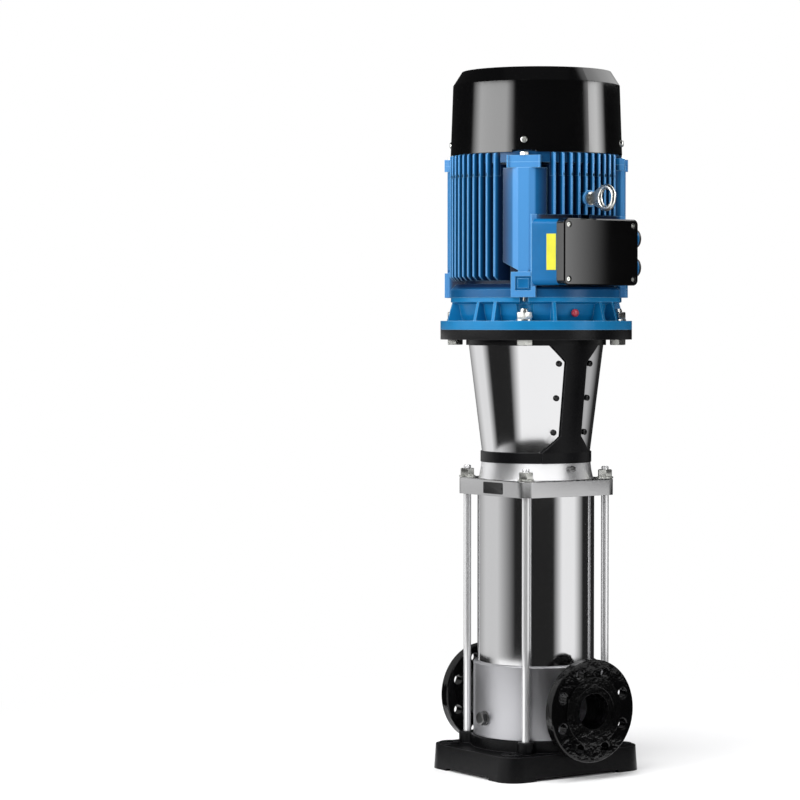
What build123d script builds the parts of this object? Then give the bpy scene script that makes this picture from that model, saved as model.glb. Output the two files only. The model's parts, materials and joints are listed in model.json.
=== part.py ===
"""Vertical multistage in-line pump with a flange-mounted, fan-cooled motor.

The X axis runs along the flow, towards the discharge port, and the Z axis runs up the shaft.
The origin is the centre of the base plate's underside. Every length is in millimetres.
"""
from build123d import *
from math import acos, asin, atan2, cos, hypot, pi, sin, sqrt
import os

os.makedirs("parts", exist_ok=True)

# Clearances
STATIC_GAP = 0.1        # between fixed pieces that fit into each other
RUNNING_GAP = 0.3       # between turning and standing pieces that pass each other
JOURNAL_GAP = 0.05      # radial play of a shaft in its bush

# Base plate
BASE_X = 256
BASE_Y = 310
BASE_H = 45
BASE_CORNER_R = 36
BASE_DRAFT = 4          # degrees
BASE_ROOF_T = 12
BASE_WALL_T = 10
BASE_SKIRT_LIFT = 5     # the skirt between the corner feet stays this far off the floor
BASE_FOOT_L = 62        # length of each corner foot along the skirt
ANCHOR_X = 190
ANCHOR_Y = 250
ANCHOR_D = 14
ANCHOR_BOSS_R = 19
ANCHOR_BOSS_H = 3
SEAT_H = 21             # raised collar under the housing
SEAT_LEDGE = 4          # how far it stands out round the housing
SEAT_EDGE = 2
STAY_BOSS_R = 15
STAY_BOSS_DROP = 26     # depth of the stay bosses under the roof
STAY_LIFT = 7           # foot of a stay bolt above the end of its boss

# Pump housing with its two ports
HOUSING_R = 114
HOUSING_H = 134
HOUSING_WALL_T = 8
HOUSING_FLOOR_T = 12
HOUSING_EDGE = 2.5      # bevel under the sleeve
HOUSING_SPIGOT_D = 190
HOUSING_SPIGOT_H = 6
DRAIN_D = 12
DRAIN_AF = 22
DRAIN_ANGLE = -90
DRAIN_H = 35            # above the foot of the housing
DRAIN_PAD_H = 1
PORT_BORE_D = 65
PORT_NECK_D = 84
PORT_RISE = 58          # above the foot of the housing
FACE_TO_FACE = 350
COLLAR_D = 122
COLLAR_T = 4
PORT_STEP_D = 88        # shallow step round each port's bore
PORT_STEP_T = 1.5

# Loose port flanges and their split retaining rings
FLANGE_D = 185
FLANGE_T = 20
FLANGE_PCD = 145
FLANGE_HOLE_D = 18
FLANGE_HOLES = 8
FLANGE_EDGE = 2
FLANGE_HOLE_EDGE = 2
RETAINER_T = 5
RETAINER_W = 9
RETAINER_SPLIT = 4

# Outer sleeve
SLEEVE_D = 214
SLEEVE_T = 2.5
SLEEVE_L = 305
SLEEVE_SPIGOT_H = 10
SLEEVE_SPIGOT_T = 7
SEAL_D = 3              # cord diameter of the sleeve seals

# Pump head
HEAD_SIDE = 212
HEAD_CORNER_R = 20
HEAD_PLATE_H = 30
DOME_BASE_R = 105
DOME_WAIST_R = 101.6
DOME_TOP_R = 100
DOME_H = 30
HEAD_ROOF_T = 22
HEAD_REGISTER_R = 84    # locating step for the lantern
HEAD_REGISTER_H = 4
VENT_D = 8
VENT_AF = 10
VENT_H = 20             # above the head's plate
PLATE_W = 58            # bare rating plate
PLATE_T = 1
PLATE_SHIFT = 12        # from the middle of the head's side

# Stay bolts
STAY_SPACING = 180
STAY_D = 14
STAY_HOLE_D = 15
NUT_AF = 24
NUT_H = 13
WASHER_D = 30
WASHER_T = 3
BOLT_TAIL = 6           # thread standing out of a nut

# Motor lantern, its columns and guards
STOOL_H = 241
STOOL_RING_H = 19
STOOL_LOW_R = 99        # outside of the guards at the lantern's foot
STOOL_HIGH_R = 123      # and under its flange
STOOL_WALL_T = 9
STOOL_FLANGE_D = 350
STOOL_FLANGE_T = 18
STOOL_BAND_H = 10
COLUMN_W = 46
COLUMN_PROUD = 5
COLUMN_FLARE = 30
GUARD_T = 1.5
GUARD_LAND = 16         # width of the land beside each column that carries a guard's edge
GUARD_SCREW_D = 11
GUARD_SCREW_H = 4
GUARD_SCREW_L = 8
GUARD_SCREW_ROWS = 3
GUARD_SCREW_FIRST = 37  # above the guards' foot
GUARD_SCREW_PITCH = 62
GUARD_SCREW_ASIDE = 11  # from the column's side
STOOL_SCREW_REACH = 92
STOOL_SCREW_D = 8
SPIGOT_R = 125          # motor spigot in the lantern flange
SPIGOT_H = 5
MOTOR_BOLT_INSET = 25   # from the flanges' rim to the bolt circle
MOTOR_BOLT_D = 16
MOTOR_BOLT_HOLE_D = 18.5
BOLT_HEAD_H = 10

# Motor
MOTOR_FLANGE_T = 16
BELL_H = 58
BELL_NECK_R = 140
BELL_RIM_R = 156
BELL_WALL_T = 9
BELL_RIB_T = 6
BELL_RIB_SIDE = 20      # degrees between a bolt and the rib on either side
BELL_RIB_EXTRA = 11     # degrees from the axes to the ribs between the bolts
BELL_DRAIN_R = 5
BELL_DRAIN_ANGLE = -8
BELL_DRAIN_H = 14
NUT_POCKET_R = 17
FRAME_L = 240
FRAME_CORE_R = 130
FRAME_WALL_T = 12
FRAME_RING_H = 24
FRAME_RING_R = 157
FIN_R = 160             # envelope of the fin tips
FIN_T = 3.6
FIN_PITCH = 15
FINS_PER_SIDE = 10
FIN_BEVEL = 16
PAD_OUT_R = 163         # foot-mounting pads on the diagonals
PAD_FACE_W = 19
PAD_ROOT_W = 78
PAD_SLOPE = 16          # how far the flanks fall back from the pad's face
PAD_FOOT_SLANT = 15
PAD_LOW = 48            # pad ends, above the foot of the frame
PAD_HIGH = 230
LUG_W = 44
LUG_OUT_R = 166
LUG_H = 45
LUG_FLOOR_T = 12
LUG_ROOF_T = 8
LUG_WALL_T = 8
TOP_LUG_W = 60
TOP_LUG_OUT_R = 161
LUG_CHEEK_T = 3         # upright cheeks at both ends of an upper lug
LUG_CHEEK_PROUD = 4
STATOR_L = 140
STATOR_BORE_R = 70
WINDING_H = 28
AIR_GAP = 0.7
SHAFT_END_D = 42
SHAFT_END_L = 110
BEARING_D = 100
BEARING_BORE_D = 45
BEARING_W = 25
ROTOR_SEAT_R = 26
FAN_SEAT_D = 38
FAN_R = 132
FAN_HUB_R = 32
FAN_H = 44
FAN_BLADES = 7
SHIELD_H = 24
SHIELD_RIM_R = 150
SHIELD_LUG_T = 12
SHIELD_BOLT_R = 4
SHIELD_BOLT_REACH = 156
BELL_BOLT_REACH = 148
SHIELD_BOLT_AF = 13
SHIELD_EAR_H = 28

# Fan cover
COVER_H = 153
COVER_RIM_R = 156.6
COVER_SHOULDER_R = 152
COVER_TOP_R = 136
COVER_CHAMFER_H = 25
COVER_T = 2
COVER_LAP = 6           # how far the cover reaches down over the upper end shield
COVER_SCREW_R = 2.5
COVER_SCREW_HEAD_R = 6
COVER_SCREW_H = 16      # above the upper end shield
GRILLE_RINGS = 5
GRILLE_SLOT_W = 9
GRILLE_PITCH = 20
GRILLE_FIRST_R = 32
GRILLE_BARS = 8
GRILLE_BAR_W = 9

# Terminal box
BOX_W = 167
BOX_H = 118
BOX_RISE = 80           # middle of the box above the foot of the frame
BOX_FACE_X = 193
BOX_LID_D = 22
BOX_CORNER_R = 10
BOX_WALL_T = 5
GASKET_T = 2
BOX_SEAT_X = 127
BOX_SEAT_W = 212        # the box narrows from its seat to its lid
BOX_LEDGE = 8           # the seat stands this far above the box
BOX_PASSAGE_D = 56
BOX_SCREW_INSET = 11
BOX_SCREW_D = 10
BOX_PLUG_D = 34
ENTRY_BOSS_RIM = 2
BOARD_W = 84
BOARD_H = 48
BOARD_T = 12
STUD_R = 3
STUD_L = 14
STUD_PITCH_Y = 28
STUD_PITCH_Z = 30
LABEL_W = 18
LABEL_H = 64
LABEL_T = 0.6

# Lifting eye
EYE_RISE = 176          # above the foot of the frame
EYE_X = 207
EYE_OD = 48
EYE_ROD_D = 9.5
EYE_BOSS_R = 15
EYE_BOSS_END = 160
EYE_COLLAR_R = 12
EYE_COLLAR_T = 3
EYE_NECK_R = 7
EYE_SHANK_R = 6
EYE_GUSSET_T = 5

# Pump rotor and stages
PUMP_SHAFT_D = 22
PUMP_SHAFT_LIFT = 9     # above the floor of the housing
PUMP_SHAFT_REACH = 99   # above the pump head
STAGES = 4
STAGE_PITCH = 68
STAGE_R = 92
STAGE_WALL_T = 2
STAGE_FLOOR_T = 3
EYE_R = 34
WEAR_RING_T = 4
IMPELLER_R = 72
IMPELLER_LIFT = 7
IMPELLER_H = 24
SHROUD_T = 2.5
IMPELLER_HUB_R = 17
SPACER_R = 14
CAP_T = 6
BUSH_R = 18
IMPELLER_BLADES = 6
BLADE_T = 3
VANE_PLATE_R = 76
VANE_H = 22
GUIDE_VANES = 8
COUPLING_R = 44
COUPLING_LIFT = 51      # above the pump head
COUPLING_L = 112
COUPLING_SPLIT = 3
COUPLING_SCREW_D = 10
PIN_R = 3
PIN_L = 30
PIN_DROP = 12           # below the pump shaft's end
SEAL_SEAT_R = 26
GLAND_R = 44
GLAND_T = 8

# Stations up the shaft
seat_top = BASE_H + SEAT_H
stay_foot = BASE_H - BASE_ROOF_T - STAY_BOSS_DROP + STAY_LIFT
housing_floor = seat_top + HOUSING_FLOOR_T
port_z = seat_top + PORT_RISE
housing_top = seat_top + HOUSING_H
sleeve_top = housing_top + SLEEVE_L
plate_top = sleeve_top + HEAD_PLATE_H
dome_top = plate_top + DOME_H
pump_shaft_foot = housing_floor + PUMP_SHAFT_LIFT
pump_shaft_top = dome_top + PUMP_SHAFT_REACH
coupling_foot = dome_top + COUPLING_LIFT
stool_top = dome_top + STOOL_H
stool_flange_foot = stool_top - STOOL_FLANGE_T
vent_z = plate_top + VENT_H
guard_foot = dome_top + STOOL_RING_H
guard_top = stool_flange_foot - STOOL_BAND_H
motor_flange_top = stool_top + MOTOR_FLANGE_T
frame_foot = stool_top + BELL_H
frame_top = frame_foot + FRAME_L
box_mid_z = frame_foot + BOX_RISE
eye_z = frame_foot + EYE_RISE
shield_top = frame_top + SHIELD_H
cover_screw_z = shield_top + COVER_SCREW_H
cover_foot = shield_top - COVER_LAP
cover_top = cover_foot + COVER_H
stator_foot = frame_foot + (FRAME_L - STATOR_L) / 2
stator_top = stator_foot + STATOR_L
low_bearing_foot = stool_top + MOTOR_FLANGE_T + 10
high_bearing_foot = frame_top + 3
stack_foot = housing_top - 14
fan_foot = shield_top + 18
shaft_top = fan_foot + FAN_H + 2
fin_foot = frame_foot + FRAME_RING_H + 6
fin_top = frame_top - 3
stay_reach = STAY_SPACING / 2
motor_bolt_reach = STOOL_FLANGE_D / 2 - MOTOR_BOLT_INSET
port_face = FACE_TO_FACE / 2
sleeve_bore_r = SLEEVE_D / 2 - SLEEVE_T
pump_shaft_r = PUMP_SHAFT_D / 2
frame_bore_r = FRAME_CORE_R - FRAME_WALL_T
lid_foot = BOX_FACE_X - BOX_LID_D
entry_face = BOX_SEAT_W / 2
DIAGONALS = [45, 135, 225, 315]


# Shared shapes
ON_SEAT = (Align.CENTER, Align.CENTER, Align.MIN)
HUNG = (Align.CENTER, Align.CENTER, Align.MAX)


def disc(radius, low, high):
    """A solid cylinder on the shaft axis from height low to height high."""
    return Pos(0, 0, low) * Cylinder(radius, high - low, align=ON_SEAT)


def ring(outer, inner, low, high):
    """A tube on the shaft axis."""
    return disc(outer, low, high) - disc(inner, low, high)


def turned(*points):
    """A solid of revolution about the shaft axis, from an outline of (radius, height) points."""
    return revolve(make_face(Plane.XZ * Polyline(*points, close=True)), Axis.Z)


def upright(radius, low, high, x=0, y=0):
    """A vertical cylinder away from the shaft axis."""
    return Pos(x, y, 0) * disc(radius, low, high)


def radial(radius, start, end, angle=0, height=0):
    """A cylinder lying along a radius of the machine."""
    rod = Pos(start, 0, height) * Rot(0, 90, 0) * Cylinder(
        radius, end - start, align=ON_SEAT)
    return Rot(0, 0, angle) * rod


def block(x_low, x_high, width, low, high, angle=0):
    """A box centred on the radius at the given angle."""
    box = Pos((x_low + x_high) / 2, 0, (low + high) / 2) * Box(x_high - x_low, width, high - low)
    return Rot(0, 0, angle) * box


def rounded_slab(size_x, size_y, corner, low, high):
    """A plate with four rounded upright corners."""
    return Pos(0, 0, low) * extrude(RectangleRounded(size_x, size_y, corner), high - low)


def hexagon(across_flats, low, high, x=0, y=0):
    """A hexagonal bar with its flats across_flats apart."""
    outline = RegularPolygon(across_flats / sqrt(3), 6)
    return Pos(x, y, low) * extrude(outline, high - low)


def around(shape, angles):
    """Copies of a shape turned about the shaft axis."""
    return [Rot(0, 0, angle) * shape for angle in angles]


def evenly(count, first=0):
    """Equally spaced angles."""
    return [first + 360 * i / count for i in range(count)]


def corners(reach_x, reach_y):
    """The four corner points of a rectangle about the origin."""
    return [(sx * reach_x, sy * reach_y) for sx in (1, -1) for sy in (1, -1)]


def along_x(shape):
    """Lay a shape that was made about the Z axis along +X, at the height of the ports."""
    return Pos(0, 0, port_z) * Rot(0, 90, 0) * shape


def mirrored(shape):
    """The copy on the suction side."""
    return Rot(0, 0, 180) * shape


def write(node, *shapes):
    """One STEP file for a node, holding one or more separate solids."""
    solids = [solid for shape in shapes for solid in shape.solids()]
    export_step(solids[0] if len(solids) == 1 else Compound(children=solids), f"parts/{node}.step")


# Base, housing and ports
def base_plate():
    block_ = extrude(RectangleRounded(BASE_X, BASE_Y, BASE_CORNER_R), BASE_H, taper=BASE_DRAFT)
    recess = extrude(
        RectangleRounded(BASE_X - 2 * BASE_WALL_T, BASE_Y - 2 * BASE_WALL_T, BASE_CORNER_R - BASE_WALL_T),
        BASE_H - BASE_ROOF_T, taper=BASE_DRAFT)
    skirt_gaps = [
        Box(BASE_X - 2 * BASE_FOOT_L, 2 * BASE_Y, 2 * BASE_SKIRT_LIFT),
        Box(2 * BASE_X, BASE_Y - 2 * BASE_FOOT_L, 2 * BASE_SKIRT_LIFT)]
    plate = block_ - recess - skirt_gaps
    for x, y in corners(ANCHOR_X / 2, ANCHOR_Y / 2):
        plate += upright(ANCHOR_BOSS_R, 0, BASE_H + ANCHOR_BOSS_H, x, y)
    plate += housing_seat()
    for x, y in corners(stay_reach, stay_reach):
        plate += upright(STAY_BOSS_R, stay_foot - STAY_LIFT, BASE_H, x, y)
    for x, y in corners(ANCHOR_X / 2, ANCHOR_Y / 2):
        plate -= upright(ANCHOR_D / 2, 0, 2 * BASE_H, x, y)
    for x, y in corners(stay_reach, stay_reach):
        plate -= upright(STAY_D / 2 + STATIC_GAP, 0, 2 * BASE_H, x, y)
    return plate - disc(HOUSING_SPIGOT_D / 2 + STATIC_GAP, 0, 2 * BASE_H)


def housing_seat():
    """The raised collar of the base, with a lobe under each stay bolt."""
    outline = Circle(HOUSING_R + SEAT_LEDGE)
    for x, y in corners(stay_reach, stay_reach):
        outline += Pos(x, y) * Circle(STAY_BOSS_R)
    outline = fillet(outline.vertices(), STAY_BOSS_R / 2)
    collar = Pos(0, 0, BASE_H - SEAT_EDGE) * extrude(outline, SEAT_H + SEAT_EDGE)
    return chamfer(collar.faces().sort_by(Axis.Z)[-1].edges(), SEAT_EDGE)


def pump_housing():
    body = turned(
        (0, seat_top - HOUSING_SPIGOT_H), (HOUSING_SPIGOT_D / 2, seat_top - HOUSING_SPIGOT_H),
        (HOUSING_SPIGOT_D / 2, seat_top), (HOUSING_R, seat_top), (HOUSING_R, housing_top - HOUSING_EDGE),
        (HOUSING_R - HOUSING_EDGE, housing_top), (sleeve_bore_r - STATIC_GAP, housing_top),
        (sleeve_bore_r - STATIC_GAP, housing_top + SLEEVE_SPIGOT_H), (0, housing_top + SLEEVE_SPIGOT_H))
    neck = along_x(disc(PORT_NECK_D / 2, 0, port_face))
    collar = along_x(disc(COLLAR_D / 2, port_face - COLLAR_T, port_face))
    shell = body + neck + collar + mirrored(neck) + mirrored(collar)
    shell += radial(DRAIN_AF * 0.62 + 2, HOUSING_R - HOUSING_WALL_T, HOUSING_R + DRAIN_PAD_H, DRAIN_ANGLE,
                    seat_top + DRAIN_H)
    passage_r = sleeve_bore_r - SLEEVE_SPIGOT_T
    shell -= ring(passage_r, STAGE_R, housing_floor, 2 * housing_top)
    duct = mirrored(along_x(disc(PORT_NECK_D / 2 - 3, STAGE_R - HOUSING_WALL_T, passage_r + 1)))
    shell += duct
    shell -= disc(STAGE_R - HOUSING_WALL_T, housing_floor, 2 * housing_top)
    shell -= disc(passage_r, stack_foot, 2 * housing_top)
    bore = along_x(disc(PORT_BORE_D / 2, STAGE_R + 1, port_face))
    inlet = mirrored(along_x(disc(PORT_BORE_D / 2, STAGE_R - 2 * HOUSING_WALL_T, port_face)))
    step = along_x(disc(PORT_STEP_D / 2, port_face - PORT_STEP_T, port_face))
    groove = ring(sleeve_bore_r, sleeve_bore_r - SEAL_D, housing_top + 4, housing_top + 4 + SEAL_D)
    drain = radial(DRAIN_D / 2, HOUSING_R - 3 * HOUSING_WALL_T, 2 * HOUSING_R, DRAIN_ANGLE, seat_top + DRAIN_H)
    return shell - bore - inlet - step - mirrored(step) - groove - drain


def loose_flange():
    flange_foot = port_face - COLLAR_T - FLANGE_T
    plate = ring(FLANGE_D / 2, PORT_NECK_D / 2 + RUNNING_GAP, flange_foot, port_face - COLLAR_T)
    plate = chamfer(plate.edges().filter_by(GeomType.CIRCLE).filter_by(
        lambda edge: edge.radius > FLANGE_D / 2 - 1), FLANGE_EDGE)
    hole = upright(FLANGE_HOLE_D / 2, 0, port_face, FLANGE_PCD / 2)
    hole += Pos(FLANGE_PCD / 2, 0, port_face - COLLAR_T) * Cone(
        FLANGE_HOLE_D / 2, FLANGE_HOLE_D / 2 + FLANGE_HOLE_EDGE, FLANGE_HOLE_EDGE, align=HUNG)
    return along_x(plate - around(hole, evenly(FLANGE_HOLES, 180 / FLANGE_HOLES)))


def flange_retainer():
    top = port_face - COLLAR_T - FLANGE_T
    split_ring = ring(PORT_NECK_D / 2 + RETAINER_W, PORT_NECK_D / 2 + STATIC_GAP, top - RETAINER_T, top)
    return along_x(split_ring - block(0, FLANGE_D, RETAINER_SPLIT, 0, port_face))


def drain_plug():
    height = seat_top + DRAIN_H
    seat = HOUSING_R + DRAIN_PAD_H
    shank = radial(DRAIN_D / 2 - STATIC_GAP, seat - HOUSING_WALL_T, seat, 0, height)
    flange = radial(DRAIN_AF * 0.62, seat, seat + 3, 0, height)
    head = Pos(seat + 3, 0, height) * Rot(0, 90, 0) * hexagon(DRAIN_AF, 0, 9)
    return Rot(0, 0, DRAIN_ANGLE) * (shank + flange + head)


# Sleeve, head and stay bolts
def outer_sleeve():
    return ring(SLEEVE_D / 2, sleeve_bore_r, housing_top, sleeve_top)


def sleeve_seal(low):
    return ring(sleeve_bore_r - STATIC_GAP / 2, sleeve_bore_r - SEAL_D, low, low + SEAL_D)


def pump_head():
    plate = rounded_slab(HEAD_SIDE, HEAD_SIDE, HEAD_CORNER_R, sleeve_top, plate_top)
    plate = chamfer(plate.faces().sort_by(Axis.Z)[-1].edges(), 2)
    flare = ThreePointArc(
        (DOME_BASE_R, plate_top), (DOME_WAIST_R, plate_top + DOME_H / 2), (DOME_TOP_R, dome_top))
    rest = Polyline(
        (DOME_TOP_R, dome_top), (HEAD_REGISTER_R, dome_top), (HEAD_REGISTER_R, dome_top + HEAD_REGISTER_H),
        (0, dome_top + HEAD_REGISTER_H), (0, sleeve_top), (DOME_BASE_R, sleeve_top), (DOME_BASE_R, plate_top))
    dome = revolve(make_face(Plane.XZ * (flare + rest)), Axis.Z)
    spigot_r = sleeve_bore_r - STATIC_GAP
    spigot = disc(spigot_r, sleeve_top - SLEEVE_SPIGOT_H, sleeve_top)
    cavity = disc(spigot_r - SLEEVE_SPIGOT_T, 0, dome_top - HEAD_ROOF_T)
    seat = disc(SEAL_SEAT_R + STATIC_GAP, 0, 2 * dome_top)
    groove = ring(
        sleeve_bore_r, sleeve_bore_r - SEAL_D, sleeve_top - 4 - SEAL_D, sleeve_top - 4)
    head = plate + dome + spigot - cavity - seat - groove
    for x, y in corners(stay_reach, stay_reach):
        head -= upright(STAY_HOLE_D / 2, 0, 2 * dome_top, x, y)
    head -= radial(VENT_D / 2, DOME_TOP_R - 14, DOME_BASE_R + 9, 0, vent_z)
    return head


def vent_plug():
    face = DOME_BASE_R
    shank = radial(VENT_D / 2 - STATIC_GAP, DOME_TOP_R - 14, face + 1, 0, vent_z)
    head = Pos(face + 1, 0, vent_z) * Rot(0, 90, 0) * hexagon(VENT_AF, 0, 7)
    return shank + head


def stay_bolt():
    top = plate_top + WASHER_T + NUT_H + BOLT_TAIL
    rod = upright(STAY_D / 2, stay_foot, top, stay_reach, stay_reach)
    return chamfer(rod.edges().filter_by(GeomType.CIRCLE), 1.5)


def stay_nut():
    low = plate_top + WASHER_T
    nut = hexagon(NUT_AF, low, low + NUT_H, stay_reach, stay_reach)
    return nut - upright(STAY_D / 2 + STATIC_GAP, 0, 2 * low, stay_reach, stay_reach)


def stay_washer():
    washer = upright(WASHER_D / 2, plate_top, plate_top + WASHER_T, stay_reach, stay_reach)
    return washer - upright(STAY_D / 2 + STATIC_GAP, 0, 2 * plate_top, stay_reach, stay_reach)


def rating_plate():
    """A bare plate on the front of the pump head."""
    return Pos(PLATE_SHIFT, 0, 0) * Rot(0, 0, -90) * block(
        HEAD_SIDE / 2, HEAD_SIDE / 2 + PLATE_T, PLATE_W, sleeve_top + 4, plate_top - 5)


# Motor lantern and guards
def cone_radius(height):
    """Outside radius of the lantern wall at a height."""
    share = (height - guard_foot) / (guard_top - guard_foot)
    return STOOL_LOW_R + (STOOL_HIGH_R - STOOL_LOW_R) * share


def cone_shell(outset, thickness, low, high):
    """A conical shell whose outside stands outset proud of the lantern wall."""
    r_low = cone_radius(low) + outset
    r_high = cone_radius(high) + outset
    return turned((r_low, low), (r_high, high), (r_high - thickness, high), (r_low - thickness, low))


def window(half_gap, flare):
    """The space that one guard closes, cut right through the wall beside both columns."""
    wide = STOOL_FLANGE_D
    height = guard_top - guard_foot
    opening = Pos(half_gap + wide / 2, 0) * Rectangle(wide, height)
    inner = opening.vertices().sort_by(Axis.X)[:2]
    opening = chamfer(inner, flare)
    cut = extrude(Plane.YZ * opening, wide, both=True)
    return Pos(0, 0, (guard_top + guard_foot) / 2) * cut


def motor_lantern():
    wall = cone_shell(-GUARD_T - STATIC_GAP, STOOL_WALL_T, guard_foot, guard_top)
    land_cut = window(COLUMN_W / 2 + GUARD_LAND, COLUMN_FLARE)
    wall = wall - land_cut - mirrored(land_cut)
    columns = cone_shell(COLUMN_PROUD, COLUMN_PROUD + STOOL_WALL_T, guard_foot, guard_top)
    column_cut = window(COLUMN_W / 2, COLUMN_FLARE)
    columns = columns - column_cut - mirrored(column_cut)
    foot = ring(DOME_TOP_R + GUARD_T, HEAD_REGISTER_R + STATIC_GAP, dome_top, guard_foot)
    apron = ring(STOOL_LOW_R + COLUMN_PROUD, HEAD_REGISTER_R + STATIC_GAP, dome_top, guard_foot)
    apron &= block(-STOOL_FLANGE_D, STOOL_FLANGE_D, COLUMN_W + 2 * COLUMN_FLARE, 0, stool_top)
    band = ring(STOOL_HIGH_R + COLUMN_PROUD, STOOL_HIGH_R - 20, guard_top, stool_flange_foot)
    flange = ring(STOOL_FLANGE_D / 2, SPIGOT_R + STATIC_GAP, stool_flange_foot, stool_top)
    lantern = wall + columns + foot + apron + band + flange
    hole = upright(MOTOR_BOLT_HOLE_D / 2, 0, 2 * stool_top, motor_bolt_reach)
    lantern -= around(hole, DIAGONALS)
    for x, y, z in guard_screw_places():
        lantern -= guard_screw_body(x, y, z, GUARD_SCREW_D / 4 + STATIC_GAP, GUARD_SCREW_L)
    for x, y in corners(STOOL_SCREW_REACH, 0)[::2]:
        lantern -= upright(STOOL_SCREW_D / 2 + STATIC_GAP, 0, guard_foot, x, y)
    return lantern


def coupling_guard():
    """One half of the sheet guard, on the -Y side."""
    low = guard_foot + 0.5
    high = guard_top - 0.5
    shell = cone_shell(0, GUARD_T, low, high)
    column = window(COLUMN_W / 2 + 1.5, COLUMN_FLARE)
    half = shell & mirrored(column)
    for x, y, z in guard_screw_places():
        if y < 0:
            half -= guard_screw_body(x, y, z, GUARD_SCREW_D / 4 + STATIC_GAP, 20)
    return half


def guard_screw_places():
    """Points on the guards' outside where screws sit, in rows beside both columns."""
    places = []
    lateral = COLUMN_W / 2 + GUARD_SCREW_ASIDE
    for row in range(GUARD_SCREW_ROWS):
        z = guard_foot + GUARD_SCREW_FIRST + GUARD_SCREW_PITCH * row
        x = sqrt(cone_radius(z) ** 2 - lateral ** 2)
        places += [(sx * x, sy * lateral, z) for sx in (1, -1) for sy in (1, -1)]
    return places


def guard_screw_body(x, y, z, radius, length):
    """A cylinder square to the guard at one screw place, reaching length inwards and outwards."""
    outward = Vector(x, y, 0).normalized()
    plane = Plane(origin=(x, y, z), z_dir=outward)
    return plane * Cylinder(radius, 2 * length)


def guard_screws():
    screws = []
    for x, y, z in guard_screw_places():
        outward = Vector(x, y, 0).normalized()
        seat = Vector(x, y, z) + outward * 0.9
        plane = Plane(origin=seat, z_dir=outward)
        head = Cone(GUARD_SCREW_D / 2, GUARD_SCREW_D / 3, GUARD_SCREW_H, align=ON_SEAT)
        shank = Cylinder(GUARD_SCREW_D / 4, GUARD_SCREW_L, align=HUNG)
        screws.append(plane * (head + shank))
    return screws


def lantern_screws():
    """Two cap screws that hold the lantern on the head, under the columns' feet."""
    screws = []
    for x, y in corners(STOOL_SCREW_REACH, 0)[::2]:
        screws.append(upright(STOOL_SCREW_D / 2, dome_top + 1, guard_foot, x, y))
    return screws


# Motor mounting
def motor_bolt():
    reach = motor_bolt_reach
    top = motor_flange_top + WASHER_T + NUT_H + BOLT_TAIL
    head = hexagon(NUT_AF, stool_flange_foot - BOLT_HEAD_H, stool_flange_foot, reach)
    return Rot(0, 0, 45) * (head + upright(MOTOR_BOLT_D / 2, stool_flange_foot, top, reach))


def motor_nut():
    reach = motor_bolt_reach
    low = motor_flange_top + WASHER_T
    nut = hexagon(NUT_AF, low, low + NUT_H, reach)
    return Rot(0, 0, 45) * (nut - upright(MOTOR_BOLT_D / 2 + STATIC_GAP, 0, 2 * low, reach))


def motor_washer():
    reach = motor_bolt_reach
    washer = upright(WASHER_D / 2, motor_flange_top, motor_flange_top + WASHER_T, reach)
    return Rot(0, 0, 45) * (washer - upright(MOTOR_BOLT_D / 2 + STATIC_GAP, 0, 2 * stool_top, reach))


# Motor housing
def bell_end_shield():
    """The lower end shield: mounting flange, ribbed bell and bearing hub in one casting."""
    bearing_top = low_bearing_foot + BEARING_W
    hub_r = BEARING_D / 2 + 9
    neck_z = motor_flange_top + 10
    shell = turned(
        (SHAFT_END_D / 2 + 4, stool_top - SPIGOT_H), (SPIGOT_R, stool_top - SPIGOT_H),
        (SPIGOT_R, stool_top), (STOOL_FLANGE_D / 2, stool_top), (STOOL_FLANGE_D / 2, motor_flange_top),
        (BELL_NECK_R - 4, motor_flange_top), (BELL_NECK_R, neck_z), (BELL_NECK_R + 4, frame_foot - 12),
        (BELL_RIM_R, frame_foot - 8), (BELL_RIM_R, frame_foot), (frame_bore_r - STATIC_GAP, frame_foot),
        (frame_bore_r - STATIC_GAP, frame_foot + 6), (frame_bore_r - BELL_WALL_T, frame_foot + 6),
        (frame_bore_r - BELL_WALL_T, motor_flange_top - 4), (hub_r, motor_flange_top - 4),
        (hub_r, bearing_top), (BEARING_D / 2 + STATIC_GAP, bearing_top),
        (BEARING_D / 2 + STATIC_GAP, low_bearing_foot), (SHAFT_END_D / 2 + 4, low_bearing_foot))
    rib_out = STOOL_FLANGE_D / 2 - 10
    outline = make_face(Plane.XZ * Polyline(
        (BELL_NECK_R - 8, motor_flange_top - 1), (rib_out, motor_flange_top - 1),
        (BELL_RIM_R - 2, frame_foot - 4), (BELL_NECK_R - 8, frame_foot - 4), close=True))
    rib = extrude(outline, BELL_RIB_T / 2, both=True)
    rib_angles = [diagonal + side * BELL_RIB_SIDE for diagonal in DIAGONALS for side in (-1, 1)]
    shell += around(rib, rib_angles + evenly(4, BELL_RIB_EXTRA))
    hole = upright(MOTOR_BOLT_HOLE_D / 2, 0, 2 * stool_top, motor_bolt_reach)
    shell -= around(hole, DIAGONALS)
    shell -= radial(BELL_DRAIN_R, frame_bore_r - 20, BELL_NECK_R + 20, BELL_DRAIN_ANGLE,
                    motor_flange_top + BELL_DRAIN_H)
    shell -= around(upright(NUT_POCKET_R, motor_flange_top, frame_foot - 12, motor_bolt_reach), DIAGONALS)
    shell -= around(upright(SHIELD_BOLT_R + STATIC_GAP, 0, frame_top, BELL_BOLT_REACH), DIAGONALS)
    return shell


def bell_drain_plug():
    z = motor_flange_top + BELL_DRAIN_H
    shank = radial(BELL_DRAIN_R - STATIC_GAP, BELL_NECK_R - 12, BELL_NECK_R + 4, 0, z)
    head = radial(BELL_DRAIN_R + 2, BELL_NECK_R + 4, BELL_NECK_R + 9, 0, z)
    return Rot(0, 0, BELL_DRAIN_ANGLE) * (shank + head)


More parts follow.
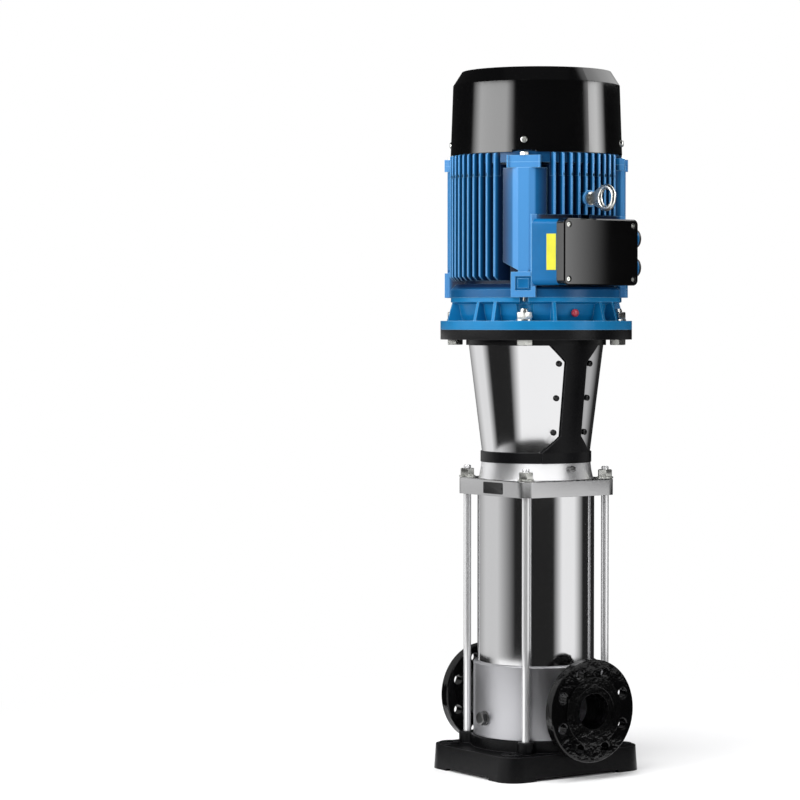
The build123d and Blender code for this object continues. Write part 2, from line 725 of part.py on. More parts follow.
def cooling_fin(offset):
    """One upright fin that points along +X, bevelled at its head and rounded at its foot."""
    tip = sqrt(FIN_R ** 2 - offset ** 2)
    root = sqrt(FRAME_CORE_R ** 2 - offset ** 2) - 3
    outline = make_face(Plane.XZ * Polyline(
        (root, fin_foot), (tip - FIN_BEVEL / 2, fin_foot), (tip, fin_foot + FIN_BEVEL / 2),
        (tip, fin_top - FIN_BEVEL), (tip - FIN_BEVEL / 2, fin_top), (root, fin_top), close=True))
    return Pos(0, offset + FIN_T / 2, 0) * extrude(outline, FIN_T)


def diagonal_pad():
    """The prism on each diagonal that a foot could be bolted to."""
    root = FRAME_CORE_R * cos(asin(PAD_ROOT_W / 2 / FRAME_CORE_R)) - 1
    side = PAD_ROOT_W / 2
    face = PAD_FACE_W / 2
    flank = PAD_OUT_R - PAD_SLOPE
    section = make_face(Polyline(
        (root, -side), (flank, -side), (PAD_OUT_R, -face), (PAD_OUT_R, face), (flank, side), (root, side),
        close=True))
    low = frame_foot + PAD_LOW
    high = frame_foot + PAD_HIGH
    front = make_face(Plane.YZ * Polyline(
        (-side, low + PAD_FOOT_SLANT), (-face, low), (face, low), (side, low + PAD_FOOT_SLANT),
        (side, high), (-side, high), close=True))
    pad = (Pos(0, 0, low) * extrude(section, high - low)) & extrude(front, 2 * PAD_OUT_R)
    strip = block(FRAME_CORE_R - 4, PAD_OUT_R, PAD_FACE_W, frame_foot + LUG_H, low)
    return pad + strip


def motor_frame():
    core = disc(FRAME_CORE_R, frame_foot, frame_top)
    foot_ring = turned(
        (FRAME_CORE_R - 2, frame_foot), (FRAME_RING_R, frame_foot), (FRAME_RING_R, frame_foot + 14),
        (FRAME_RING_R - 10, frame_foot + FRAME_RING_H), (FRAME_CORE_R - 2, frame_foot + FRAME_RING_H))
    offsets = [(i - (FINS_PER_SIDE - 1) / 2) * FIN_PITCH for i in range(FINS_PER_SIDE)]
    fins = [Rot(0, 0, side) * cooling_fin(offset) for side in (0, 90, 180, 270) for offset in offsets]
    pads = around(diagonal_pad(), DIAGONALS)
    lugs = around(block(FRAME_CORE_R - 4, LUG_OUT_R, LUG_W, frame_foot, frame_foot + LUG_H), DIAGONALS)
    top_lugs = around(upper_lug(frame_foot + PAD_HIGH, frame_top), DIAGONALS)
    frame = core + foot_ring + fins + pads + lugs + top_lugs
    box_low = box_mid_z - BOX_H / 2
    box_high = box_mid_z + BOX_H / 2
    frame -= block(BOX_SEAT_X, 2 * BOX_FACE_X, BOX_SEAT_W + 4, box_low - 2, box_high + BOX_LEDGE)
    frame += block(FRAME_CORE_R - 40, BOX_SEAT_X, BOX_SEAT_W, box_low, box_high + BOX_LEDGE)
    frame += radial(EYE_BOSS_R, FRAME_CORE_R - 4, EYE_BOSS_END, 0, eye_z)
    for y in (-EYE_BOSS_R + EYE_GUSSET_T / 2, EYE_BOSS_R - EYE_GUSSET_T / 2):
        frame += Pos(0, y, 0) * block(
            FRAME_CORE_R - 10, EYE_BOSS_END - EYE_BOSS_R, EYE_GUSSET_T, box_high, eye_z)
    frame -= disc(frame_bore_r, 0, 2 * frame_top)
    frame -= radial(BOX_PASSAGE_D / 2, frame_bore_r - 20, 2 * BOX_FACE_X, 0, box_mid_z)
    frame -= radial(EYE_SHANK_R + STATIC_GAP, FRAME_CORE_R + 3, 2 * EYE_X, 0, eye_z)
    frame -= around(lug_pocket(), DIAGONALS)
    frame -= around(upright(
        SHIELD_BOLT_R + STATIC_GAP, frame_top - 12, 2 * frame_top, SHIELD_BOLT_REACH), DIAGONALS)
    return frame


def upper_lug(low, high):
    """A lug with two cheeks, for the bolts of the upper end shield."""
    lug = block(FRAME_CORE_R - 4, TOP_LUG_OUT_R, TOP_LUG_W, low, high)
    cheek = block(FRAME_CORE_R - 4, TOP_LUG_OUT_R + LUG_CHEEK_PROUD, LUG_CHEEK_T, low, high)
    offset = (TOP_LUG_W - LUG_CHEEK_T) / 2
    return lug + Pos(0, offset, 0) * cheek + Pos(0, -offset, 0) * cheek


def lug_pocket():
    """The pocket in a lower lug, open outwards, that takes the head of a bell bolt."""
    pocket = block(
        BELL_BOLT_REACH - 10, 2 * LUG_OUT_R, LUG_W - 2 * LUG_WALL_T, frame_foot + LUG_FLOOR_T,
        frame_foot + LUG_H - LUG_ROOF_T)
    return pocket + upright(SHIELD_BOLT_R + STATIC_GAP, 0, frame_foot + LUG_FLOOR_T + 1, BELL_BOLT_REACH)


def bell_bolt():
    seat = frame_foot + LUG_FLOOR_T
    shank = upright(SHIELD_BOLT_R, frame_foot - 7, seat, BELL_BOLT_REACH)
    return shank + hexagon(SHIELD_BOLT_AF, seat, seat + 8, BELL_BOLT_REACH)


def upper_end_shield():
    bearing_top = high_bearing_foot + BEARING_W
    shell = turned(
        (BEARING_D / 2 + STATIC_GAP, high_bearing_foot), (BEARING_D / 2 + 9, high_bearing_foot),
        (BEARING_D / 2 + 9, frame_top + 8), (frame_bore_r - BELL_WALL_T, frame_top + 8),
        (frame_bore_r - BELL_WALL_T, frame_top - 6), (frame_bore_r - STATIC_GAP, frame_top - 6),
        (frame_bore_r - STATIC_GAP, frame_top), (SHIELD_RIM_R, frame_top), (SHIELD_RIM_R, shield_top - 4),
        (SHIELD_RIM_R - 14, shield_top), (BEARING_D / 2 + 14, shield_top - 4),
        (BEARING_D / 2 + 12, bearing_top), (SHAFT_END_D / 2 + 4, bearing_top + 6),
        (SHAFT_END_D / 2 + 4, bearing_top), (BEARING_D / 2 + STATIC_GAP, bearing_top))
    lug = upper_lug(frame_top, frame_top + SHIELD_LUG_T) - disc(SHIELD_RIM_R - 20, 0, shield_top)
    ear = block(SHIELD_RIM_R - 16, SHIELD_RIM_R - 4, 24, shield_top - 6, shield_top + SHIELD_EAR_H)
    hole = upright(SHIELD_BOLT_R + STATIC_GAP, 0, 2 * frame_top, SHIELD_BOLT_REACH)
    hole += upright(SHIELD_BOLT_AF * 0.7, frame_top + SHIELD_LUG_T, 2 * frame_top, SHIELD_BOLT_REACH)
    socket = radial(COVER_SCREW_R + STATIC_GAP, SHIELD_RIM_R - 20, SHIELD_RIM_R, 0, cover_screw_z)
    return shell + around(lug + ear, DIAGONALS) - around(hole + socket, DIAGONALS)


def shield_bolt():
    low = frame_top + SHIELD_LUG_T
    shank = upright(SHIELD_BOLT_R, frame_top - 11, low, SHIELD_BOLT_REACH)
    return shank + hexagon(SHIELD_BOLT_AF, low, low + 6, SHIELD_BOLT_REACH)


# Fan and its cover
def cover_profile(inset):
    """Outline of the fan cover, drawn inset from its outside, from the rim to the axis."""
    shoulder_z = cover_top - COVER_CHAMFER_H
    return [
        (COVER_RIM_R - inset, cover_foot), (COVER_SHOULDER_R - inset, shoulder_z),
        (COVER_TOP_R - inset, cover_top - inset), (0, cover_top - inset)]


def fan_cover():
    outside = turned((0, cover_foot), *cover_profile(0))
    inside = turned((0, cover_foot), *cover_profile(COVER_T))
    cover = outside - inside
    slots = [
        ring(GRILLE_FIRST_R + GRILLE_PITCH * i + GRILLE_SLOT_W, GRILLE_FIRST_R + GRILLE_PITCH * i,
             cover_top - 2 * COVER_T, cover_top + 1)
        for i in range(GRILLE_RINGS)]
    bar = block(0, COVER_TOP_R, GRILLE_BAR_W, cover_top - 3 * COVER_T, cover_top + 2)
    slots = Part() + slots - around(bar, evenly(GRILLE_BARS))
    hole = radial(COVER_SCREW_R + STATIC_GAP, SHIELD_RIM_R, 2 * COVER_RIM_R, 0, cover_screw_z)
    notch = block(COVER_SHOULDER_R - 6, 2 * COVER_RIM_R, LUG_W - 2, cover_foot - 1, frame_top + 22)
    return cover - slots - around(hole + notch, DIAGONALS)


def cover_screw():
    face = COVER_RIM_R - (COVER_RIM_R - COVER_SHOULDER_R) * (cover_screw_z - cover_foot) / (
        COVER_H - COVER_CHAMFER_H)
    shank = radial(COVER_SCREW_R, SHIELD_RIM_R - 15, face + 0.4, 0, cover_screw_z)
    return shank + radial(COVER_SCREW_HEAD_R, face + 0.4, face + 4, 0, cover_screw_z)


def cooling_fan():
    hub = ring(FAN_HUB_R, FAN_SEAT_D / 2 + STATIC_GAP, fan_foot, fan_foot + FAN_H)
    plate = turned(
        (FAN_HUB_R - 2, fan_foot + 4), (FAN_R * 0.7, fan_foot), (FAN_R * 0.7, fan_foot + 3),
        (FAN_HUB_R - 2, fan_foot + 8))
    blade = block(FAN_HUB_R - 2, FAN_R, 3, fan_foot + 1, fan_foot + FAN_H - 6)
    return hub + plate + around(blade, evenly(FAN_BLADES))


# Electrical parts of the motor
def stator_core():
    return ring(frame_bore_r - STATIC_GAP, STATOR_BORE_R, stator_foot, stator_top)


def stator_windings():
    outer = frame_bore_r - 8
    inner = STATOR_BORE_R + 6
    return [
        ring(outer, inner, stator_foot - WINDING_H, stator_foot),
        ring(outer, inner, stator_top, stator_top + WINDING_H)]


def rotor_core():
    return ring(STATOR_BORE_R - AIR_GAP, ROTOR_SEAT_R + STATIC_GAP, stator_foot, stator_top)


def motor_shaft():
    shaft_end = stool_top - SHAFT_END_L
    seat_low = low_bearing_foot + BEARING_W
    bearing_r = BEARING_BORE_D / 2
    return turned(
        (0, shaft_end), (SHAFT_END_D / 2 - 1.5, shaft_end), (SHAFT_END_D / 2, shaft_end + 1.5),
        (SHAFT_END_D / 2, stool_top), (bearing_r, stool_top), (bearing_r, seat_low),
        (ROTOR_SEAT_R, seat_low), (ROTOR_SEAT_R, high_bearing_foot), (bearing_r, high_bearing_foot),
        (bearing_r, high_bearing_foot + BEARING_W), (FAN_SEAT_D / 2, high_bearing_foot + BEARING_W),
        (FAN_SEAT_D / 2, shaft_top), (0, shaft_top))


def bearing_rings(low):
    """The standing ring with its dust shields, and the turning ring, of one deep-groove bearing."""
    split_r = (BEARING_D + BEARING_BORE_D) / 4
    outer = ring(BEARING_D / 2, split_r, low, low + BEARING_W)
    inner = ring(split_r - RUNNING_GAP, BEARING_BORE_D / 2 + JOURNAL_GAP, low, low + BEARING_W)
    return outer, inner


# Terminal box and lifting eye
def box_outline(inset):
    return RectangleRounded(BOX_W - 2 * inset, BOX_H - 2 * inset, BOX_CORNER_R - inset / 2)


def box_slab(inset, start, end):
    """A rounded slab of the terminal box between two distances from the shaft."""
    return Plane(origin=(start, 0, box_mid_z), x_dir=(0, 1, 0), z_dir=(1, 0, 0)) * extrude(
        box_outline(inset), end - start)


def box_section(x, width, height):
    """A cross-section of the terminal box at a distance from the shaft."""
    plane = Plane(origin=(x, 0, box_mid_z), x_dir=(0, 1, 0), z_dir=(1, 0, 0))
    return plane * RectangleRounded(width, height, BOX_CORNER_R)


def box_taper(inset, start):
    """The body of the terminal box, which narrows from its seat to the gasket."""
    return loft([
        box_section(start, BOX_SEAT_W - 2 * inset, BOX_H - 2 * inset),
        box_section(lid_foot - GASKET_T, BOX_W - 2 - 2 * inset, BOX_H - 2 - 2 * inset)])


def terminal_box():
    shell = box_taper(0, BOX_SEAT_X)
    for height in plug_places():
        shell += gland_bar(height, BOX_PLUG_D / 2 + ENTRY_BOSS_RIM, BOX_W / 2 - BOX_WALL_T, entry_face)
    cavity = box_taper(BOX_WALL_T, BOX_SEAT_X + BOX_WALL_T)
    shell = shell - cavity - radial(BOX_PASSAGE_D / 2, 0, BOX_FACE_X, 0, box_mid_z)
    for y, z in box_screw_places():
        shell += box_post(y, z, BOX_SCREW_D / 2 + 3, BOX_SEAT_X + 2, lid_foot - GASKET_T)
        shell -= box_post(y, z, BOX_SCREW_D / 4 + STATIC_GAP, lid_foot - 16, lid_foot)
    for height in plug_places():
        shell -= gland_bar(height, BOX_PLUG_D / 3 + STATIC_GAP, BOX_W / 2 - 3 * BOX_WALL_T, BOX_W)
    return shell


def box_screw_places():
    reach_y = BOX_W / 2 - BOX_SCREW_INSET
    reach_z = BOX_H / 2 - BOX_SCREW_INSET
    return [(y, box_mid_z + z) for y, z in corners(reach_y, reach_z)]


def box_post(y, z, radius, start, end):
    """A cylinder along X at a place on the terminal box."""
    return Pos(0, y, 0) * radial(radius, start, end, 0, z)


def plug_places():
    """Heights of the two cable entries on the +Y side."""
    return [box_mid_z - 26, box_mid_z + 26]


def gland_bar(height, radius, start, end):
    middle = (BOX_SEAT_X + lid_foot) / 2
    return Pos(middle, 0, 0) * radial(radius, start, end, 90, height)


def box_gasket():
    gasket = box_slab(1, lid_foot - GASKET_T, lid_foot) - box_slab(4, lid_foot - GASKET_T, lid_foot)
    return gasket


def box_lid():
    lid = box_slab(0, lid_foot, BOX_FACE_X)
    lid = chamfer(lid.faces().sort_by(Axis.X)[-1].edges(), 2)
    lid -= box_slab(BOX_WALL_T, lid_foot - 1, BOX_FACE_X - 4)
    for y, z in box_screw_places():
        lid += box_post(y, z, BOX_SCREW_D / 2 + 3, lid_foot, BOX_FACE_X - 3)
        lid -= box_post(y, z, BOX_SCREW_D / 2 + STATIC_GAP, BOX_FACE_X - 6, BOX_FACE_X)
        lid -= box_post(y, z, BOX_SCREW_D / 4 + STATIC_GAP, lid_foot, BOX_FACE_X)
    return lid


def lid_screw(y, z):
    head = box_post(y, z, BOX_SCREW_D / 2, BOX_FACE_X - 6, BOX_FACE_X - 2)
    return head + box_post(y, z, BOX_SCREW_D / 4, lid_foot - 14, BOX_FACE_X - 6)


def entry_plug(height):
    shank = gland_bar(height, BOX_PLUG_D / 3, entry_face - 8, entry_face)
    return shank + gland_bar(height, BOX_PLUG_D / 2, entry_face, entry_face + 6)


def terminal_board():
    board_x = BOX_SEAT_X + BOX_WALL_T
    board = block(board_x, board_x + BOARD_T, BOARD_W, box_mid_z - BOARD_H / 2, box_mid_z + BOARD_H / 2)
    return board - radial(8, 0, BOX_FACE_X, 0, box_mid_z)


def terminal_studs():
    foot = BOX_SEAT_X + BOX_WALL_T + BOARD_T
    return [
        Pos(0, y, 0) * radial(STUD_R, foot, foot + STUD_L, 0, box_mid_z + z)
        for y in (-STUD_PITCH_Y, 0, STUD_PITCH_Y) for z in (-STUD_PITCH_Z / 2, STUD_PITCH_Z / 2)]


def entry_label():
    """The bare yellow label on the -Y side of the terminal box, next to the lid."""
    low = Vector(BOX_SEAT_X, -BOX_SEAT_W / 2, box_mid_z)
    high = Vector(lid_foot - GASKET_T, 1 - BOX_W / 2, box_mid_z)
    along = (high - low).normalized()
    middle = high - along * (LABEL_W / 2 + 1)
    side = Plane(origin=middle, x_dir=along, z_dir=(along.Y, -along.X, 0))
    return side * Box(LABEL_W, LABEL_H, LABEL_T, align=ON_SEAT)


def lifting_eye():
    """A forged eye bolt: its shoulders run from the collar tangent to the ring."""
    ring_r = (EYE_OD - EYE_ROD_D) / 2
    centre = Pos(EYE_X, 0, eye_z) * Rot(90, 0, 0)
    loop = centre * Torus(ring_r, EYE_ROD_D / 2)
    neck_x = EYE_BOSS_END + EYE_COLLAR_T
    reach = EYE_X - neck_x
    touch = pi - atan2(EYE_NECK_R, reach) - acos(EYE_OD / 2 / hypot(reach, EYE_NECK_R))
    touch_x = EYE_X + EYE_OD / 2 * cos(touch)
    touch_z = EYE_OD / 2 * sin(touch)
    shoulders = Plane.XZ * Polyline(
        (neck_x, eye_z - EYE_NECK_R), (touch_x, eye_z - touch_z), (EYE_X, eye_z),
        (touch_x, eye_z + touch_z), (neck_x, eye_z + EYE_NECK_R), close=True)
    web = extrude(make_face(shoulders), EYE_ROD_D / 3, both=True) - centre * Cylinder(ring_r, EYE_OD)
    collar = radial(EYE_COLLAR_R, EYE_BOSS_END, neck_x + 1, 0, eye_z)
    neck = radial(EYE_NECK_R, neck_x, neck_x + EYE_COLLAR_T, 0, eye_z)
    shank = radial(EYE_SHANK_R, FRAME_CORE_R + 4, EYE_BOSS_END + 1, 0, eye_z)
    return loop + web + collar + neck + shank


# Pump rotor
def pump_shaft():
    rod = disc(pump_shaft_r, pump_shaft_foot, pump_shaft_top)
    return chamfer(rod.edges().filter_by(GeomType.CIRCLE), 1) - coupling_pin_hole()


def stage_floor(stage):
    return stack_foot + stage * STAGE_PITCH


def impeller(stage):
    """A closed impeller: two shrouds, swept blades between them, a hub and an eye ring."""
    low = stage_floor(stage) + IMPELLER_LIFT
    high = low + IMPELLER_H
    bore = pump_shaft_r + STATIC_GAP
    hub = ring(IMPELLER_HUB_R, bore, low + 4, high)
    back = ring(IMPELLER_R, bore, high - SHROUD_T, high)
    front = turned(
        (EYE_R - SHROUD_T, stage_floor(stage)), (EYE_R, stage_floor(stage)), (EYE_R, low),
        (IMPELLER_R, low + 6), (IMPELLER_R, low + 6 + SHROUD_T), (EYE_R - SHROUD_T, low + SHROUD_T))
    inner = IMPELLER_HUB_R + 4
    outer = IMPELLER_R - 0.5
    arc = ThreePointArc((inner, 0), (outer * 0.62, outer * 0.36), (outer * 0.42, outer * 0.9))
    blade = Pos(0, 0, low + 2) * extrude(make_face(offset_2d_strip(arc)), IMPELLER_H - 3)
    limit = turned(
        (IMPELLER_HUB_R - 1, low + SHROUD_T), (EYE_R, low + SHROUD_T - 0.5), (IMPELLER_R, low + 7),
        (IMPELLER_R, high - 1), (IMPELLER_HUB_R - 1, high - 1))
    blades = [blade_copy & limit for blade_copy in around(blade, evenly(IMPELLER_BLADES))]
    return hub + back + front + blades


def offset_2d_strip(arc):
    """A closed outline of constant thickness about an arc."""
    start = arc @ 0
    middle = arc @ 0.5
    end = arc @ 1
    normals = [Vector(-t.Y, t.X, 0) * BLADE_T / 2 for t in (arc % 0, arc % 0.5, arc % 1)]
    left = ThreePointArc(start + normals[0], middle + normals[1], end + normals[2])
    right = ThreePointArc(start - normals[0], middle - normals[1], end - normals[2])
    return [left, Line(left @ 1, right @ 1), right, Line(right @ 0, left @ 0)]


def impeller_spacers():
    """Tubes that hold the impellers apart on the shaft."""
    spacers = []
    for stage in range(STAGES - 1):
        low = stage_floor(stage) + IMPELLER_LIFT + IMPELLER_H
        high = stage_floor(stage + 1) + IMPELLER_LIFT + 4
        spacers.append(ring(SPACER_R, pump_shaft_r + STATIC_GAP, low, high))
    return spacers


def stage_chamber(stage):
    """The standing cup of one stage, with the guide vanes of the stage below under its floor."""
    floor = stage_floor(stage)
    hole_r = EYE_R + RUNNING_GAP + WEAR_RING_T
    cup = ring(STAGE_R, STAGE_R - STAGE_WALL_T, floor, floor + STAGE_PITCH)
    cup += ring(STAGE_R - 1, hole_r, floor, floor + STAGE_FLOOR_T)
    if stage == 0:
        return cup
    vane = Pos(0, 14, 0) * block(44, STAGE_R - 12, 2.5, floor - VANE_H, floor + 1)
    plate = ring(VANE_PLATE_R, SPACER_R + 6, floor - VANE_H - 2.5, floor - VANE_H)
    return cup + around(vane, evenly(GUIDE_VANES)) + plate


def wear_ring(stage):
    floor = stage_floor(stage)
    return ring(EYE_R + RUNNING_GAP + WEAR_RING_T - STATIC_GAP, EYE_R + RUNNING_GAP, floor,
                floor + STAGE_FLOOR_T)


def stack_cap():
    """The open spider that closes the stage stack and carries the upper bush."""
    low = stage_floor(STAGES)
    rim = ring(STAGE_R, STAGE_R - 8, low, low + CAP_T)
    hub = ring(SPACER_R + 8, pump_shaft_r + JOURNAL_GAP, low, low + CAP_T + 8)
    arm = block(SPACER_R + 4, STAGE_R - 4, 10, low, low + CAP_T)
    return rim + hub + around(arm, evenly(4, 45))


def stack_straps():
    """Four straps that hold the stage stack down on the housing."""
    high = stage_floor(STAGES) + CAP_T
    strap = block(STAGE_R + STATIC_GAP, STAGE_R + STATIC_GAP + 2, 14, stack_foot, high)
    hook = block(STAGE_R - 8, STAGE_R + STATIC_GAP + 2, 14, high, high + 2)
    return around(strap + hook, DIAGONALS)


def bottom_bearing():
    """The bush and its spider in the inlet of the housing."""
    low = housing_floor
    bore_r = STAGE_R - HOUSING_WALL_T
    bush = ring(BUSH_R, pump_shaft_r + JOURNAL_GAP, low + 8, low + 26)
    arm = block(BUSH_R - 1, bore_r, 8, low, low + 20) & disc(bore_r - STATIC_GAP, low, low + 20)
    foot = ring(BUSH_R, pump_shaft_r + 4, low, low + 8)
    return bush + foot + around(arm, evenly(3, 60))


def seal_seat():
    """The standing ring of the shaft seal in the pump head."""
    roof = dome_top - HEAD_ROOF_T
    return ring(SEAL_SEAT_R, pump_shaft_r + RUNNING_GAP, roof, dome_top + HEAD_REGISTER_H)


def seal_rotor():
    """The turning part of the shaft seal, under the seat."""
    roof = dome_top - HEAD_ROOF_T
    return turned(
        (pump_shaft_r + JOURNAL_GAP, roof - 26), (17, roof - 26), (17, roof - 14), (21, roof - 12),
        (21, roof - 1), (pump_shaft_r + JOURNAL_GAP, roof - 1))


def seal_gland():
    low = dome_top + HEAD_REGISTER_H
    return ring(GLAND_R, pump_shaft_r + 3, low, low + GLAND_T)


def gland_screws():
    low = dome_top + HEAD_REGISTER_H + GLAND_T
    return around(upright(4.5, low, low + 5, GLAND_R - 8), evenly(4, 45))


def coupling_half():
    """One half of the split clamp coupling, on the -Y side."""
    shaft_end = stool_top - SHAFT_END_L
    top = coupling_foot + COUPLING_L
    body = disc(COUPLING_R, coupling_foot, top)
    body -= disc(SHAFT_END_D / 2 + JOURNAL_GAP, shaft_end - 2, 2 * top)
    body -= disc(pump_shaft_r + JOURNAL_GAP, 0, pump_shaft_top + 4)
    body -= disc(pump_shaft_r + 6, pump_shaft_top + 4, shaft_end)
    body -= coupling_pin_hole()
    half = body & Pos(0, -COUPLING_R - COUPLING_SPLIT / 2, coupling_foot + COUPLING_L / 2) * Box(
        4 * COUPLING_R, 2 * COUPLING_R, 2 * COUPLING_L)
    for x, z in coupling_screw_places():
        half -= cross_bar(x, z, COUPLING_SCREW_D / 2 - 1 + STATIC_GAP, COUPLING_R)
        half -= Pos(0, -COUPLING_R, 0) * cross_bar(x, z, COUPLING_SCREW_D / 2 + 4, 24)
    return half


def coupling_screw_places():
    reach = COUPLING_R - 12
    return [(sx * reach, coupling_foot + COUPLING_L * share) for sx in (1, -1) for share in (0.2, 0.8)]


def cross_bar(x, z, radius, half_length):
    """A cylinder along Y, centred on the plane between the coupling halves."""
    return Pos(x, 0, z) * Rot(90, 0, 0) * Cylinder(radius, 2 * half_length)


def coupling_screw(x, z):
    seat = COUPLING_R - 24
    head = Pos(0, -seat - 4, 0) * cross_bar(x, z, COUPLING_SCREW_D / 2 + 2.5, 4)
    tail = Pos(0, seat + 4, 0) * cross_bar(x, z, COUPLING_SCREW_D / 2 + 2.5, 4)
    return head + cross_bar(x, z, COUPLING_SCREW_D / 2 - 1, seat + 1) + tail


def coupling_pin():
    """The pin through the pump shaft's end that sets its height in the coupling."""
    return cross_bar(0, pump_shaft_top - PIN_DROP, PIN_R, PIN_L / 2)


def coupling_pin_hole():
    return cross_bar(0, pump_shaft_top - PIN_DROP, PIN_R + STATIC_GAP, PIN_L / 2 + STATIC_GAP)


# Writing every node
bearing_low_outer, bearing_low_inner = bearing_rings(low_bearing_foot)
bearing_high_outer, bearing_high_inner = bearing_rings(high_bearing_foot)
flange = loose_flange()
retainer = flange_retainer()
guard = coupling_guard()
half_coupling = coupling_half()

write("base_plate", base_plate())
write("pump_housing", pump_housing())
write("discharge_flange", flange)
write("suction_flange", mirrored(flange))
write("flange_retainers", retainer, mirrored(retainer))
write("drain_plug", drain_plug())
write("outer_sleeve", outer_sleeve())
write("sleeve_seals", sleeve_seal(housing_top + 4), sleeve_seal(sleeve_top - 4 - SEAL_D))
write("pump_head", pump_head())
write("vent_plug", vent_plug())
write("rating_plate", rating_plate())
write("stay_bolts", *around(stay_bolt(), evenly(4)))
write("stay_nuts", *around(stay_nut(), evenly(4)))
write("stay_washers", *around(stay_washer(), evenly(4)))
write("motor_lantern", motor_lantern())
write("coupling_guard_front", guard)
write("coupling_guard_rear", mirrored(guard))
write("guard_screws", *guard_screws())
write("lantern_screws", *lantern_screws())
write("motor_bolts", *around(motor_bolt(), evenly(4)))
write("motor_nuts", *around(motor_nut(), evenly(4)))
write("motor_washers", *around(motor_washer(), evenly(4)))
write("bell_end_shield", bell_end_shield())
write("bell_drain_plug", bell_drain_plug())
write("bell_bolts", *around(bell_bolt(), DIAGONALS))
write("motor_frame", motor_frame())
write("upper_end_shield", upper_end_shield())
write("shield_bolts", *around(shield_bolt(), DIAGONALS))
write("fan_cover", fan_cover())
write("fan_cover_screws", *around(cover_screw(), DIAGONALS))
write("cooling_fan", cooling_fan())
write("stator_core", stator_core())
write("stator_windings", *stator_windings())
write("rotor_core", rotor_core())
write("motor_shaft", motor_shaft())
write("bearing_outer_rings", bearing_low_outer, bearing_high_outer)
write("bearing_inner_rings", bearing_low_inner, bearing_high_inner)
write("terminal_box", terminal_box())
write("terminal_box_gasket", box_gasket())
write("terminal_box_lid", box_lid())
write("lid_screws", *[lid_screw(y, z) for y, z in box_screw_places()])
write("cable_entry_plugs", *[entry_plug(height) for height in plug_places()])
write("terminal_board", terminal_board())
write("terminal_studs", *terminal_studs())
write("entry_label", entry_label())
write("lifting_eye", lifting_eye())
write("pump_shaft", pump_shaft())
write("impellers", *[impeller(stage) for stage in range(STAGES)])
write("impeller_spacers", *impeller_spacers())
write("stage_chambers", *[stage_chamber(stage) for stage in range(STAGES)])
write("wear_rings", *[wear_ring(stage) for stage in range(STAGES)])
write("stack_cap", stack_cap())
write("stack_straps", *stack_straps())
write("bottom_bearing", bottom_bearing())
write("seal_seat", seal_seat())
write("seal_rotor", seal_rotor())
write("seal_gland", seal_gland())
write("gland_screws", *gland_screws())
write("coupling_halves", half_coupling, mirrored(half_coupling))
write("coupling_screws", *[coupling_screw(x, z) for x, z in coupling_screw_places()], coupling_pin())
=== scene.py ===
import json
import math

import bpy
from mathutils import Matrix, Quaternion, Vector


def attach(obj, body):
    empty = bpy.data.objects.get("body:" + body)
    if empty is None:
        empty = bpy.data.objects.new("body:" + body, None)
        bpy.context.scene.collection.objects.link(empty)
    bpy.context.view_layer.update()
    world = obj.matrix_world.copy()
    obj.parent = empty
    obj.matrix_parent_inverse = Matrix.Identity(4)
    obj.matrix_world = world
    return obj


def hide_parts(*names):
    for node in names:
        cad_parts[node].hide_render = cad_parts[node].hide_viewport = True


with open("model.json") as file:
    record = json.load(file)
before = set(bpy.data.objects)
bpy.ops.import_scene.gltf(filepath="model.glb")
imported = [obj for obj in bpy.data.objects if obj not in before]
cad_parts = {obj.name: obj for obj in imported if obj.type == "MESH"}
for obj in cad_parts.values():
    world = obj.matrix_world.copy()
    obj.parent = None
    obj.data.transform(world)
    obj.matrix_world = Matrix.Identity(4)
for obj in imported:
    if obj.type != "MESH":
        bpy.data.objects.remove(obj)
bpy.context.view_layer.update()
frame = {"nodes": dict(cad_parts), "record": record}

NODES = frame["nodes"]

# The camera stands in front of the corner between the discharge flange and the front guard
VIEW_AZIMUTH = math.radians(53)
VIEW_DISTANCE = 5.20
VIEW_HEIGHT = 0.823
VIEW_YAW = math.radians(2.746)
VIEW_PITCH = math.radians(1.61)
FOCAL_MM = 127.6

# Heights and sizes that the pieces below share with the solids, in metres
PLATE_TOP = 0.5352
FIN_ROWS = 10
FIN_PITCH = 0.015
FIN_REACH = 0.160
FIN_TIP = 0.1585
FIN_ROOT = 0.148
FIN_END_T = 0.0042
FIN_END_LOW = 1.080
FIN_END_HIGH = 1.1215
FIN_END_SLOPE = 0.004
FIN_END_EDGE = 0.0007
# Below these reaches the blue paint is painted dark, as painted shade in the fin valleys
FINNED_SHADE_REACH = 0.1560
SHIELD_SHADE_REACH = 0.1500
PORT_PAINT_REACH = 0.1158      # the housing's necks and port faces lie beyond it

# Fasteners, in metres
UP = (0, 0, 1)
WELD_DIGITS = 6
SMOOTH_ANGLE = math.radians(38)
HEX_FIT = 0.985                # the box round a hexagon is wider than its flats
HEX_TURNED = 0.94              # the flat on top of a hexagon, as a share of its flats
THREAD_ROOT = 0.88             # the root of a thread, as a share of its crest
NUT_EDGE = 0.0003
BOLT_HEAD_H = 0.010
MOTOR_BOLT_R = 0.008
THREAD_PITCH = 0.0020
BELL_HEAD_H = 0.008
SHIELD_HEAD_H = 0.006
STAY_BORE_R = 0.0071
STAY_BORE_EDGE = 0.0006
ROD_FOOT_EDGE = 0.0015
ROD_THREAD = 0.030
GUARD_HEAD_R = 0.0055
GUARD_HEAD_H = 0.004
GUARD_SOCKET = 0.0045
GUARD_SHANK_L = 0.008
LID_HEAD_H = 0.004
COVER_HEAD_H = 0.0036
COVER_SHANK_L = 0.010
DRAIN_ACROSS = 0.022
DRAIN_HEAD_H = 0.009
DRAIN_COLLAR_T = 0.003
DRAIN_COLLAR_EDGE = 0.0008
DRAIN_SHANK_R = 0.0055
LUG_CAP_W = 0.030
LUG_CAP_H = 0.027
LUG_CAP_T = 0.004
LUG_CAP_REACH = 0.1592
